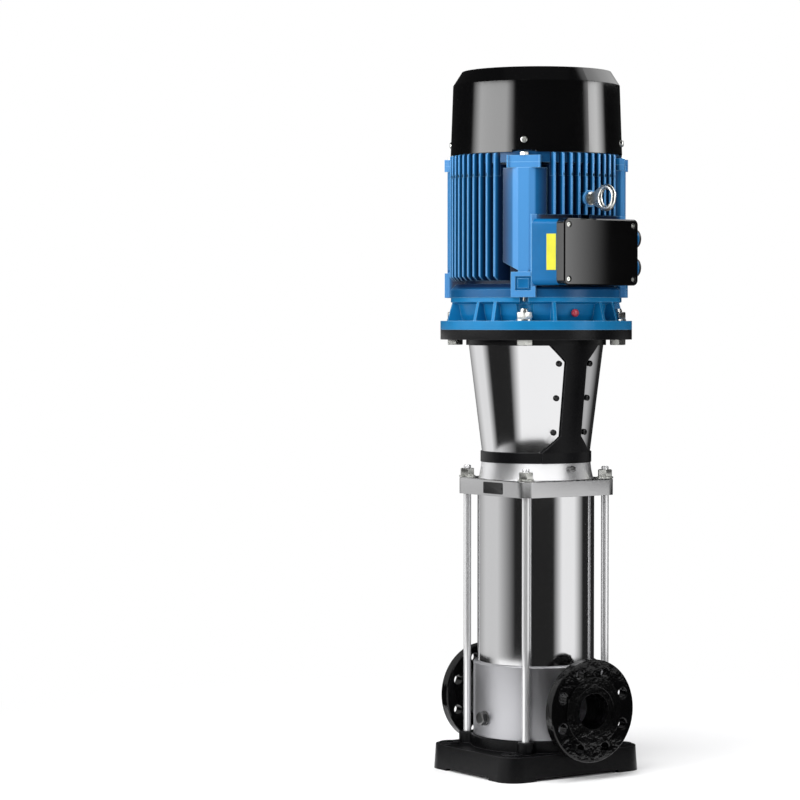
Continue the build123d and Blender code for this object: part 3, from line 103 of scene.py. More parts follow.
LUG_CAP_LIFT = 0.0315          # its middle above the foot of the bell bolts
LUG_BOSS_H = 0.019
LUG_BOSS_T = 0.0026
LUG_BOSS_RIM = 0.0022
LUG_BOSS_SINK = 0.0008
LUG_CAP_EDGE = 0.0005
PLATE_CORNER = 0.0025
PLATE_RIM = 0.0009
RIVET_R = 0.0016
RIVET_INSET = 0.004
VENT_HEAD_H = 0.007
VENT_SHANK_R = 0.0038
SLOT_L = 0.020
SLOT_DEPTH = 0.003             # the cutter's height, half of which goes into the head
VENT_SLOT_W = 0.0016
RED_SLOT_W = 0.0015
RED_PLUG_L = 0.021
RED_CAP_H = 0.005

# Paints and metals, as linear colours
BLUE_PAINT = (0.001, 0.118, 0.315)
# the same blue paint made lighter, as painted light on the bell
BLUE_PAINTED_LIT = (0.004, 0.185, 0.430)
# painted shade in the fin valleys
BLUE_PAINTED_SHADE = (0.003, 0.012, 0.040)
# painted highlight on the fin tips
BLUE_TIP_PAINTED_HIGHLIGHT = (0.050, 0.200, 0.440)
# painted highlight along the edges of the blue paint
BLUE_EDGE_PAINTED_HIGHLIGHT = (0.300, 0.580, 0.800)
BLACK_ENAMEL = (0.0010, 0.0010, 0.0011)
BLACK_CAST = (0.0018, 0.0018, 0.0021)
# painted highlight along the edges of black castings
GREY_EDGE_PAINTED_HIGHLIGHT = (0.110, 0.110, 0.115)
BRIGHT_STEEL = (0.80, 0.80, 0.81)
TURNED_STEEL = (0.58, 0.58, 0.585)
# the head's steel painted brighter on the dome, as a painted highlight
DOME_STEEL_PAINTED_BRIGHT = (0.95, 0.95, 0.96)
DARK_STEEL = (0.20, 0.20, 0.20)
BLASTED_STEEL = (0.62, 0.62, 0.645)
ROD_STEEL = (0.92, 0.92, 0.93)
ZINC = (0.66, 0.665, 0.63)
PLAIN_STEEL = (0.45, 0.45, 0.46)
CORE_STEEL = (0.20, 0.20, 0.21)
COPPER = (0.52, 0.20, 0.07)
BRASS = (0.70, 0.50, 0.18)
CARBIDE = (0.10, 0.10, 0.11)
RUBBER = (0.010, 0.010, 0.010)
PLASTIC = (0.014, 0.014, 0.015)
YELLOW = (0.46, 0.44, 0.022)
RED = (0.36, 0.030, 0.050)


class Signal:
    """A shader socket that takes part in arithmetic."""

    def __init__(self, finish, socket):
        self.finish = finish
        self.socket = socket

    def combine(self, operation, first, second=0.0):
        maths = self.finish.node("ShaderNodeMath", {"operation": operation}, {0: first, 1: second})
        return Signal(self.finish, maths.outputs[0])

    def __add__(self, other):
        return self.combine("ADD", self, other)

    __radd__ = __add__

    def __sub__(self, other):
        return self.combine("SUBTRACT", self, other)

    def __rsub__(self, other):
        return self.combine("SUBTRACT", other, self)

    def __mul__(self, other):
        return self.combine("MULTIPLY", self, other)

    __rmul__ = __mul__

    def __truediv__(self, other):
        return self.combine("DIVIDE", self, other)

    def __pow__(self, other):
        return self.combine("POWER", self, other)

    def over(self, edge, softness=0.05):
        """Nought below the edge and one above it."""
        band = self.finish.node(
            "ShaderNodeMapRange", {"interpolation_type": "SMOOTHSTEP"},
            {"Value": self, "From Min": edge - softness, "From Max": edge + softness})
        return Signal(self.finish, band.outputs["Result"])


class Finish:
    """One material, with the nodes that make its surface."""

    def __init__(self, name, settings):
        self.material = bpy.data.materials.new(name)
        self.material.use_nodes = True
        self.tree = self.material.node_tree
        self.shader = self.tree.nodes["Principled BSDF"]
        self.normal = None
        for socket, value in settings.items():
            self.shader.inputs[socket].default_value = value
        place = self.node("ShaderNodeTexCoord")
        self.place = Signal(self, place.outputs["Object"])

    def node(self, kind, settings=None, values=None):
        """Any node: its settings are set first, then its sockets get values or links."""
        made = self.tree.nodes.new(kind)
        for name, setting in (settings or {}).items():
            setattr(made, name, setting)
        for name, value in (values or {}).items():
            if isinstance(value, Signal):
                self.tree.links.new(value.socket, made.inputs[name])
            else:
                made.inputs[name].default_value = value
        return made

    def cloud(self, place, scale, detail):
        made = self.node(
            "ShaderNodeTexNoise", None, {"Vector": place, "Scale": scale, "Detail": detail})
        return Signal(self, made.outputs[0])

    def noise(self, scale, detail=2.0, stretch=(1, 1, 1)):
        """Cloudy variation; scale counts its features in a metre."""
        spread = self.node("ShaderNodeMapping", None, {"Vector": self.place, "Scale": stretch})
        return self.cloud(Signal(self, spread.outputs[0]), scale, detail)

    def axis(self, letter):
        parts = self.node("ShaderNodeSeparateXYZ", None, {0: self.place})
        return Signal(self, parts.outputs[letter])

    def reach(self):
        """Distance from the shaft axis."""
        x, y = self.axis("X"), self.axis("Y")
        return (x * x + y * y) ** 0.5

    def around_shaft(self, scale, detail=2.0):
        """Lines that run round the shaft axis, as a lathe tool leaves them."""
        line = self.node("ShaderNodeCombineXYZ", None, {0: self.reach(), 1: 0.0, 2: self.axis("Z")})
        return self.cloud(Signal(self, line.outputs[0]), scale, detail)

    def blend(self, mask, first, second):
        mix = self.node(
            "ShaderNodeMix", {"data_type": "RGBA"},
            {0: mask, 6: self.as_colour(first), 7: self.as_colour(second)})
        return Signal(self, mix.outputs[2])

    def as_colour(self, value):
        return value if isinstance(value, Signal) else (*value, 1.0)

    def face(self, normal):
        """Shade with this normal from here on."""
        self.normal = normal
        self.tree.links.new(normal, self.shader.inputs["Normal"])

    def soften(self, radius):
        """Round every edge of the mesh in the shading alone."""
        bevel = self.node("ShaderNodeBevel", {"samples": 6}, {"Radius": radius})
        self.face(bevel.outputs[0])

    def edges(self, radius, gain):
        """Nought on flat ground, rising towards one along every edge."""
        bevel = self.node("ShaderNodeBevel", {"samples": 6}, {"Radius": radius})
        flat = self.node("ShaderNodeNewGeometry")
        facing = self.node("ShaderNodeVectorMath", {"operation": "DOT_PRODUCT"}, {
            0: Signal(self, bevel.outputs[0]), 1: Signal(self, flat.outputs["True Normal"])})
        return ((1.0 - Signal(self, facing.outputs["Value"])) * gain).over(0.5, 0.5)

    def feed(self, socket, value):
        self.tree.links.new(value.socket, self.shader.inputs[socket])

    def relief(self, height, depth, strength=1.0):
        """Bumps as deep as depth, in metres; each call lies on the one before."""
        bump = self.node(
            "ShaderNodeBump", None,
            {"Height": height, "Distance": depth, "Strength": strength})
        if self.normal is not None:
            self.tree.links.new(self.normal, bump.inputs["Normal"])
        self.face(bump.outputs[0])


def tinted(colour, share):
    return tuple(share * part for part in colour)


def blue_paint(name="blue_paint", colour=BLUE_PAINT, shaded_below=None):
    """Machine enamel over a sand casting, with painted highlights along every edge; given a reach, it is
    painted dark below it as painted shade in the valleys, and lighter on the fin tips as a painted highlight.
    """
    paint = Finish(name, {
        "Coat Roughness": 0.12, "Coat Weight": 0.06, "IOR": 1.5, "Specular IOR Level": 0.20})
    paint.soften(0.0010)
    patches = paint.noise(22, 4)
    grain = paint.noise(620, 3)
    body = paint.blend(patches * 0.9 + grain * 0.3 - 0.1, tinted(colour, 0.6), colour)
    if shaded_below:
        # painted shade: dark below the given reach, in the fin valleys
        body = paint.blend(paint.reach().over(shaded_below, 0.005), BLUE_PAINTED_SHADE, body)
        # painted highlight: lighter blue on the fin tips
        body = paint.blend(paint.reach().over(FIN_TIP, 0.001), body, BLUE_TIP_PAINTED_HIGHLIGHT)
    # painted highlight: pale blue along every edge, broken up by the grain
    edge_highlight = paint.edges(0.0016, 3.0) * (grain * 0.8 + 0.25)
    paint.feed("Base Color", paint.blend(edge_highlight, body, BLUE_EDGE_PAINTED_HIGHLIGHT))
    paint.feed("Roughness", patches * 0.16 + 0.24)
    paint.relief(grain, 0.0005, 0.4)
    paint.relief(paint.noise(90, 3), 0.0012, 0.2)
    return paint.material


def black_enamel():
    """Glossy stove enamel on pressed sheet."""
    paint = Finish("black_enamel", {"IOR": 1.5})
    paint.soften(0.0012)
    patches = paint.noise(14, 3)
    paint.feed("Base Color", paint.blend(patches, BLACK_ENAMEL, tinted(BLACK_ENAMEL, 1.8)))
    paint.feed("Roughness", patches * 0.05 + 0.08)
    paint.relief(paint.noise(260, 2), 0.0001, 0.10)
    return paint.material


def port_enamel(name):
    """Thick, runny gloss paint on the rough port flanges."""
    paint = Finish(name, {"IOR": 1.5, "Specular IOR Level": 0.35})
    paint.soften(0.0014)
    runs = paint.noise(48, 3)
    paint.feed("Base Color", paint.blend(runs, BLACK_ENAMEL, tinted(BLACK_ENAMEL, 2)))
    paint.feed("Roughness", runs * 0.10 + 0.07)
    paint.relief(runs, 0.0040, 0.5)
    paint.relief(paint.noise(150, 3), 0.0015, 0.35)
    return paint.material


def black_casting():
    """Black paint on cast iron, with the sand's grain showing through and painted grey highlights along its
    edges.
    """
    paint = Finish("black_casting", {"IOR": 1.48, "Specular IOR Level": 0.16})
    paint.soften(0.0012)
    patches = paint.noise(30, 4)
    grain = paint.noise(700, 3)
    body = paint.blend(patches, BLACK_CAST, tinted(BLACK_CAST, 2.2))
    # painted highlight: grey along every edge, broken up by the grain
    edge_highlight = paint.edges(0.0018, 2.5) * grain
    paint.feed("Base Color", paint.blend(edge_highlight, body, GREY_EDGE_PAINTED_HIGHLIGHT))
    paint.feed("Roughness", grain * 0.20 + 0.20)
    paint.relief(grain, 0.0005, 0.45)
    paint.relief(paint.noise(120, 3), 0.0010, 0.2)
    return paint.material


def metal(name, colour, rough, grain_scale=500, grain_depth=0.0002, variation=0.10):
    """Bare metal with a fine grain and slightly uneven roughness."""
    bare = Finish(name, {"Metallic": 1.0})
    bare.soften(0.0005)
    grain = bare.noise(grain_scale, 3)
    patches = bare.noise(35, 3)
    shade = tinted(colour, 1 - variation)
    bare.feed("Base Color", bare.blend(patches * 0.6 + grain * 0.4, shade, colour))
    bare.feed("Roughness", patches * 0.10 + grain * 0.06 + (rough - 0.08))
    bare.relief(grain, grain_depth, 0.35)
    return bare


def ported_stainless():
    """Blasted stainless steel; the necks and port faces are painted black."""
    skin = Finish("blasted_stainless", {"IOR": 1.48})
    skin.soften(0.0010)
    grain = skin.noise(1100, 3)
    patches = skin.noise(35, 3)
    painted = skin.reach().over(PORT_PAINT_REACH, 0.0006)
    bare = skin.blend(patches * 0.6 + grain * 0.4, tinted(BLASTED_STEEL, 0.88), BLASTED_STEEL)
    skin.feed("Base Color", skin.blend(painted, bare, BLACK_ENAMEL))
    skin.feed("Metallic", 1.0 - painted)
    skin.feed("Roughness", painted * -0.22 + patches * 0.08 + 0.38)
    skin.relief(grain, 0.0002, 0.3)
    skin.relief(painted * skin.noise(60, 3), 0.0045, 0.6)
    return skin.material


def turned_stainless():
    """Stainless steel from the lathe, with tool lines round the shaft axis."""
    bare = metal("machined_stainless", TURNED_STEEL, 0.30, 900, 0.0001)
    bare.relief(bare.around_shaft(2600, 1.0), 0.00012, 0.5)
    return bare.material


def polished_stainless():
    """Mirror-polished sheet and rod with faint polishing haze."""
    bare = Finish("polished_stainless", {"Metallic": 1.0})
    haze = bare.noise(9, 3, (1, 1, 0.2))
    bare.feed("Base Color", bare.blend(haze, tinted(BRIGHT_STEEL, 0.93), BRIGHT_STEEL))
    bare.feed("Roughness", haze * 0.06 + 0.06)
    bare.relief(bare.noise(1500, 1, (1, 1, 0.04)), 0.00002, 0.15)
    return bare.material


def head_steel():
    """Machined plate below, satin dome above; the dome's steel is painted brighter than the plate's, as a
    painted highlight.
    """
    bare = Finish("head_steel", {"Metallic": 1.0})
    bare.soften(0.0008)
    dome = bare.axis("Z").over(PLATE_TOP, 0.0003)
    patches = bare.noise(35, 3)
    # painted highlight: the dome gets the brighter steel colour
    bare.feed("Base Color", bare.blend(dome, TURNED_STEEL, DOME_STEEL_PAINTED_BRIGHT))
    bare.feed("Roughness", dome * 0.14 + patches * 0.08 + 0.20)
    bare.relief(bare.noise(900, 3), 0.0001, 0.35)
    bare.relief(bare.around_shaft(2600, 1.0), 0.00010, 0.4)
    return bare.material


def drawn_rod():
    """Bright drawn bar: its haze catches the light all along one side."""
    bare = Finish("drawn_rod", {"Metallic": 0.72, "IOR": 1.5})
    grain = bare.noise(900, 2, (1, 1, 0.05))
    bare.feed("Base Color", bare.blend(grain, tinted(ROD_STEEL, 0.92), ROD_STEEL))
    bare.feed("Roughness", grain * 0.08 + 0.16)
    bare.relief(grain, 0.00003, 0.2)
    return bare.material


def laminated_steel():
    """The edges of stacked core sheets."""
    bare = metal("core_steel", CORE_STEEL, 0.45)
    bare.relief(bare.around_shaft(3000, 0.0), 0.0004, 0.6)
    return bare.material


def moulded(name, colour, rough, grain_scale=900):
    """A moulded or rubber surface with a fine grain."""
    skin = Finish(name, {"IOR": 1.46})
    grain = skin.noise(grain_scale, 2)
    patches = skin.noise(40, 3)
    lighter = tuple(min(1.0, 1.35 * c + 0.002) for c in colour)
    skin.feed("Base Color", skin.blend(patches, colour, lighter))
    skin.feed("Roughness", grain * 0.15 + (rough - 0.07))
    skin.relief(grain, 0.0002, 0.4)
    return skin.material


FINISHES = {
    "blue_paint": blue_paint(),
    "black_enamel": black_enamel(),
    "black_casting": black_casting(),
    "machined_stainless": turned_stainless(),
    "blasted_stainless": ported_stainless(),
    "polished_stainless": polished_stainless(),
    "zinc_steel": metal("zinc_steel", ZINC, 0.28, 400, 0.0001).material,
    "black_screw": moulded("black_screw", BLACK_CAST, 0.25),
    "plain_steel": metal("plain_steel", PLAIN_STEEL, 0.3).material,
    "core_steel": laminated_steel(),
    "copper_winding": metal("copper_winding", COPPER, 0.4, 300, 0.0008, 0.3).material,
    "rubber": moulded("rubber", RUBBER, 0.6),
    "black_plastic": moulded("black_plastic", PLASTIC, 0.4),
    "yellow_label": moulded("yellow_label", YELLOW, 0.35),
    "red_plug": moulded("red_plug", RED, 0.3),
    "brass_stud": metal("brass_stud", BRASS, 0.3).material,
    "carbide": metal("carbide", CARBIDE, 0.2).material,
}

# Nodes whose surface departs from the common one of their slot
OWN_FINISHES = {
    # the fin valleys are painted dark as painted shade, and the fin tips lighter as a painted highlight
    "motor_frame": blue_paint("finned_paint", shaded_below=FINNED_SHADE_REACH),
    "upper_end_shield": blue_paint("shield_paint", shaded_below=SHIELD_SHADE_REACH),
    # the bell's paint is lighter, as painted light
    "bell_end_shield": blue_paint("bell_paint_painted_light", BLUE_PAINTED_LIT),
    "discharge_flange": port_enamel("discharge_enamel"),
    "suction_flange": port_enamel("suction_enamel"),
    "pump_head": head_steel(),
}

# Scene pieces whose surface departs from it
ROD_FINISH = drawn_rod()
PLUG_FINISH = metal("plug_steel", DARK_STEEL, 0.30).material


def dress_nodes():
    """Give every carried-over node the finish of its material slot, or its own."""
    for part in frame["record"]["subparts"]:
        node = NODES[part["node"]]
        node.data.materials.clear()
        node.data.materials.append(OWN_FINISHES.get(part["node"], FINISHES[part["material_slot"]]))


def solids_of(name):
    """The two corners of the box round each separate solid of a CAD node, in a fixed order."""
    node = NODES[name]
    leader = {}

    def head(key):
        while leader[key] != key:
            leader[key] = leader[leader[key]]
            key = leader[key]
        return key

    spots = [node.matrix_world @ vertex.co for vertex in node.data.vertices]
    keys = [tuple(round(value, WELD_DIGITS) for value in spot) for spot in spots]
    for key in keys:
        leader[key] = key
    for face in node.data.polygons:
        first = head(keys[face.vertices[0]])
        for vertex in face.vertices[1:]:
            leader[head(keys[vertex])] = first
    groups = {}
    for key, spot in zip(keys, spots):
        groups.setdefault(head(key), []).append(spot)
    boxes = [
        (Vector([min(spot[i] for spot in group) for i in range(3)]),
         Vector([max(spot[i] for spot in group) for i in range(3)]))
        for group in groups.values()]
    return sorted(boxes, key=lambda box: tuple(round(value, 4) for value in box[0] + box[1]))


def start(kind, **settings):
    """A primitive with nothing else selected, to be shaped further."""
    if bpy.context.object and bpy.context.object.mode != "OBJECT":
        bpy.ops.object.mode_set(mode="OBJECT")
    bpy.ops.object.select_all(action="DESELECT")
    getattr(bpy.ops.mesh, f"primitive_{kind}_add")(**settings)
    piece = bpy.context.object
    bpy.ops.object.transform_apply(location=True, rotation=True, scale=True)
    return piece


def alone(piece):
    """Make the piece the only one selected, and the active one."""
    bpy.ops.object.select_all(action="DESELECT")
    piece.select_set(True)
    bpy.context.view_layer.objects.active = piece
    return piece


def shaded(piece):
    """Smooth shading over the gentle edges, once the last cut is made."""
    alone(piece)
    bpy.ops.object.shade_smooth_by_angle(angle=SMOOTH_ANGLE)
    return piece


def pick(piece, test, kind="FACE"):
    """Go into edit mode with just the faces or edges selected whose place passes the test."""
    alone(piece)
    bpy.ops.object.mode_set(mode="EDIT")
    bpy.ops.mesh.select_mode(type=kind)
    bpy.ops.mesh.select_all(action="DESELECT")
    bpy.ops.object.mode_set(mode="OBJECT")
    mesh = piece.data
    if kind == "FACE":
        for face in mesh.polygons:
            face.select = test(face.center, face.normal)
    else:
        for edge in mesh.edges:
            ends = [mesh.vertices[index].co for index in edge.vertices]
            edge.select = test((ends[0] + ends[1]) / 2, (ends[1] - ends[0]).normalized())
    bpy.ops.object.mode_set(mode="EDIT")


def leave():
    bpy.ops.object.mode_set(mode="OBJECT")


def step_up(rise, share):
    """Extrude what is selected and draw the new face in or out."""
    bpy.ops.mesh.extrude_region_move(TRANSFORM_OT_translate={"value": (0, 0, rise)})
    bpy.ops.transform.resize(value=(share, share, 1))


def combine(piece, tool, operation):
    """Cut, keep or join with another solid, which is used up."""
    modifier = piece.modifiers.new(operation, "BOOLEAN")
    modifier.operation = operation
    modifier.object = tool
    modifier.solver = "EXACT"
    alone(piece)
    bpy.ops.object.modifier_apply(modifier=modifier.name)
    bpy.data.objects.remove(tool, do_unlink=True)


def round_off(piece, width, angle=40, segments=2):
    """Round the sharp edges and shade what is left smooth."""
    modifier = piece.modifiers.new("edges", "BEVEL")
    modifier.width = width
    modifier.segments = segments
    modifier.limit_method = "ANGLE"
    modifier.angle_limit = math.radians(angle)
    alone(piece)
    bpy.ops.object.modifier_apply(modifier=modifier.name)
    shaded(piece)


def hexagon(across, height, lift=0.0):
    """A hexagon whose corners are turned off to a cone above, from a lift upwards."""
    corner_r = across / math.sqrt(3)
    flat_share = HEX_TURNED * across / 2 / corner_r
    head = start("cylinder", vertices=6, radius=corner_r, depth=height, location=(0, 0, lift + height / 2))
    shy = 0.14 * across * (1 - flat_share)
    cone = start("cylinder", vertices=48, radius=corner_r, depth=height - shy * 2,
                 location=(0, 0, lift + height / 2 - shy))
    pick(cone, lambda middle, normal: normal.z > 0.9)
    step_up(shy * 2, flat_share)
    leave()
    combine(head, cone, "INTERSECT")
    return head


def threaded(radius, low, high, pitch):
    """A threaded length with a chamfered end."""
    rod = start("cylinder", vertices=24, radius=radius, depth=pitch, location=(0, 0, low + pitch / 2))
    pick(rod, lambda middle, normal: normal.z > 0.9)
    turns = int((high - low) / pitch) - 2
    for _ in range(turns):
        step_up(pitch * 0.5, THREAD_ROOT)
        step_up(pitch * 0.5, 1 / THREAD_ROOT)
    step_up(high - low - (turns + 1) * pitch, 0.8)
    leave()
    return rod


def button(radius, height, socket):
    """A low domed head with a hexagon socket."""
    head = start("cylinder", vertices=32, radius=radius, depth=height * 0.3,
                 location=(0, 0, height * 0.15))
    pick(head, lambda middle, normal: normal.z > 0.9)
    for rise, share in ((0.30, 0.93), (0.24, 0.82), (0.16, 0.66)):
        step_up(height * rise, share)
    leave()
    drive = start("cylinder", vertices=6, radius=socket / math.sqrt(3), depth=height,
                  location=(0, 0, height * 0.95))
    combine(head, drive, "DIFFERENCE")
    return head


def crossed(radius, height):
    """A pan head with a cross recess."""
    head = start("cylinder", vertices=32, radius=radius, depth=height * 0.5,
                 location=(0, 0, height * 0.25))
    pick(head, lambda middle, normal: normal.z > 0.9)
    for rise, share in ((0.30, 0.92), (0.20, 0.78)):
        step_up(height * rise, share)
    leave()
    for size in ((1.15, 0.22), (0.22, 1.15)):
        bar = start("cube", size=1, location=(0, 0, 0))
        bar.data.transform(Matrix.Translation((0, 0, height)) @ Matrix.Diagonal(
            (radius * size[0], radius * size[1], height * 0.9, 1)))
        combine(head, bar, "DIFFERENCE")
    return head


def unite(first, second):
    alone(first)
    second.select_set(True)
    bpy.ops.object.join()
    return first


def place_copies(master, name, spots, direction, slot, body="pump", turn=0.0):
    """Copy a finished master, which stands on the origin along +Z, to each spot with its own mesh."""
    made = []
    for count, spot in enumerate(spots, 1):
        way = direction(spot) if callable(direction) else Vector(direction)
        piece = master.copy()
        piece.data = master.data.copy()
        piece.name = f"{name}_{count}"
        spin = Matrix.Rotation(turn, 4, "Z")
        aim = way.to_track_quat("Z", "Y").to_matrix().to_4x4()
        piece.data.transform(Matrix.Translation(spot) @ aim @ spin)
        bpy.context.scene.collection.objects.link(piece)
        piece.data.materials.clear()
        piece.data.materials.append(FINISHES[slot])
        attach(piece, body)
        made.append(piece)
    bpy.data.objects.remove(master, do_unlink=True)
    return made


def foot_of(box, way):
    """The middle of the end of a box that lies away from a direction along an axis."""
    low, high = box
    spot = (low + high) / 2
    for i in range(3):
        if abs(way[i]) > 0.5:
            spot[i] = low[i] if way[i] > 0 else high[i]
    return spot


def size_of(box):
    return box[1] - box[0]


def flats_of(box):
    """The width across the flats of an upright hexagon, from the box round it."""
    size = size_of(box)
    return min(size.x, size.y) * HEX_FIT


def outward(spot):
    return Vector((spot.x, spot.y, 0)).normalized()


def motor_fasteners():
    """Through bolts of the motor flange, with their nuts and free thread."""
    bolts, nuts = solids_of("motor_bolts"), solids_of("motor_nuts")
    length = size_of(bolts[0]).z
    across = flats_of(bolts[0])
    bolt = hexagon(across, BOLT_HEAD_H)
    bolt.data.transform(Matrix.Translation((0, 0, BOLT_HEAD_H)) @ Matrix.Rotation(math.pi, 4, "X"))
    nut_h = size_of(nuts[0]).z
    nut_foot = nuts[0][0].z - bolts[0][0].z
    shank = start("cylinder", vertices=32, radius=MOTOR_BOLT_R, depth=nut_foot - BOLT_HEAD_H,
                  location=(0, 0, (nut_foot + BOLT_HEAD_H) / 2))
    free = threaded(MOTOR_BOLT_R, nut_foot + nut_h, length, THREAD_PITCH)
    bolt = shaded(unite(unite(bolt, shank), free))
    for piece in place_copies(bolt, "motor_bolt", [foot_of(box, UP) for box in bolts], UP, "zinc_steel"):
        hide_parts("motor_bolts")
    nut = hexagon(across, nut_h)
    round_off(nut, NUT_EDGE)
    for piece in place_copies(nut, "motor_nut", [foot_of(box, UP) for box in nuts], UP, "zinc_steel"):
        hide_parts("motor_nuts")


def cap_screws():
    """Hexagon screws of both end shields."""
    for node, head_h in (("bell_bolts", BELL_HEAD_H), ("shield_bolts", SHIELD_HEAD_H)):
        boxes = solids_of(node)
        across = flats_of(boxes[0])
        length = size_of(boxes[0]).z
        screw = hexagon(across, head_h, length - head_h)
        shank = start("cylinder", vertices=24, radius=across * 0.3, depth=length - head_h,
                      location=(0, 0, (length - head_h) / 2))
        screw = shaded(unite(screw, shank))
        spots = [foot_of(box, UP) for box in boxes]
        for piece in place_copies(screw, node[:-1], spots, UP, "zinc_steel"):
            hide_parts(node)


def stay_nuts():
    """Nuts on the head's corners, and the stay rods under them with their thread."""
    boxes = solids_of("stay_nuts")
    nut_h = size_of(boxes[0]).z
    nut = hexagon(flats_of(boxes[0]), nut_h)
    bore = start("cylinder", vertices=32, radius=STAY_BORE_R, depth=nut_h * 3)
    combine(nut, bore, "DIFFERENCE")
    pick(nut, lambda middle, way: abs(middle.z - nut_h) < 1e-5
         and middle.xy.length < STAY_BORE_R * 1.01, "EDGE")
    bpy.ops.mesh.bevel(offset=STAY_BORE_EDGE, segments=1)
    leave()
    round_off(nut, NUT_EDGE)
    for piece in place_copies(nut, "stay_nut", [foot_of(box, UP) for box in boxes], UP, "zinc_steel"):
        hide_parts("stay_nuts")
    rods = solids_of("stay_bolts")
    length = size_of(rods[0]).z
    rod_r = size_of(rods[0]).x / 2
    plain = length - ROD_THREAD
    rod = start("cylinder", vertices=48, radius=rod_r, depth=plain, location=(0, 0, plain / 2))
    pick(rod, lambda middle, way: middle.z < 1e-6, "EDGE")
    bpy.ops.mesh.bevel(offset=ROD_FOOT_EDGE, segments=1)
    leave()
    rod = shaded(unite(rod, threaded(rod_r, plain, length, THREAD_PITCH)))
    spots = [foot_of(box, UP) for box in rods]
    for piece in place_copies(rod, "stay_bolt", spots, UP, "polished_stainless"):
        piece.data.materials[0] = ROD_FINISH
        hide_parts("stay_bolts")


def shield_fins():
    """The cooling fins run on over the upper end shield, up to the fan cover."""
    height = FIN_END_HIGH - FIN_END_LOW
    for side in range(4):
        rows = []
        for row in range(FIN_ROWS):
            offset = (row - (FIN_ROWS - 1) / 2) * FIN_PITCH
            tip = math.sqrt(FIN_REACH ** 2 - offset ** 2)
            root = math.sqrt(FIN_ROOT ** 2 - offset ** 2)
            fin = start("cube", size=1)
            fin.data.transform(Matrix.Translation(((root + tip) / 2, offset, FIN_END_LOW + height / 2))
                               @ Matrix.Diagonal((tip - root, FIN_END_T, height, 1)))
            pick(fin, lambda spot, way: abs(way.y) > 0.9 and spot.x > tip - 0.001
                 and spot.z > FIN_END_HIGH - 0.001, "EDGE")
            bpy.ops.mesh.bevel(offset=FIN_END_SLOPE, segments=2)
            leave()
            pick(fin, lambda spot, way: spot.x > tip - 0.0005 and abs(way.z) > 0.9, "EDGE")
            bpy.ops.mesh.bevel(offset=FIN_END_EDGE, segments=1)
            leave()
            rows.append(fin)
        fins = rows[0]
        for fin in rows[1:]:
            fins = unite(fins, fin)
        fins.data.transform(Matrix.Rotation(math.radians(90 * side), 4, "Z"))
        fins.name = f"shield_fins_{side + 1}"
        shaded(fins)
        fins.data.materials.clear()
        fins.data.materials.append(OWN_FINISHES["motor_frame"])
        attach(fins, "pump")


def rating_plate():
    """A bare plate with a raised rim and a rivet at each end."""
    low, high = solids_of("rating_plate")[0]
    size, middle = high - low, (low + high) / 2
    plate = start("cube", size=1)
    plate.data.transform(Matrix.Translation((0, 0, size.y * 0.4)) @ Matrix.Diagonal(
        (size.x, size.z, size.y * 0.8, 1)))
    pick(plate, lambda spot, way: abs(way.z) > 0.9, "EDGE")
    bpy.ops.mesh.bevel(offset=PLATE_CORNER, segments=4)
    leave()
    pick(plate, lambda spot, way: way.z > 0.9)
    bpy.ops.mesh.inset(thickness=PLATE_RIM)
    bpy.ops.transform.translate(value=(0, 0, -size.y * 0.3))
    leave()
    for side in (-1, 1):
        rivet = start("cylinder", vertices=20, radius=RIVET_R, depth=size.y * 0.5,
                      location=(side * (size.x / 2 - RIVET_INSET), 0, size.y * 0.6))
        pick(rivet, lambda spot, way: way.z > 0.9)
        step_up(size.y * 0.15, 0.6)
        leave()
        plate = unite(plate, rivet)
    shaded(plate)
    seat = Vector((middle.x, high.y, middle.z))
    for piece in place_copies(plate, "rating_plate_bare", [seat], (0, -1, 0), "black_screw"):
        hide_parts("rating_plate")


def lug_caps():
    """The closed outer faces of the frame's lower lugs, each with a square boss."""
    boxes = solids_of("bell_bolts")
    cap = start("cube", size=1)
    cap.data.transform(Matrix.Translation((0, 0, LUG_CAP_T / 2)) @ Matrix.Diagonal(
        (LUG_CAP_W, LUG_CAP_H, LUG_CAP_T, 1)))
    pick(cap, lambda middle, normal: normal.z > 0.9)
    bpy.ops.mesh.inset(thickness=(LUG_CAP_H - LUG_BOSS_H) / 2)
    bpy.ops.mesh.extrude_region_move(TRANSFORM_OT_translate={"value": (0, 0, LUG_BOSS_T)})
    bpy.ops.transform.resize(value=(0.93, 0.93, 1))
    bpy.ops.mesh.inset(thickness=LUG_BOSS_RIM)
    bpy.ops.transform.translate(value=(0, 0, -LUG_BOSS_SINK))
    leave()
    round_off(cap, LUG_CAP_EDGE)
    spots = []
    for low, high in boxes:
        way = outward((low + high) / 2)
        spots.append(Vector((way.x * LUG_CAP_REACH, way.y * LUG_CAP_REACH, low.z + LUG_CAP_LIFT)))
    place_copies(cap, "lug_cap", spots, outward, "blue_paint")


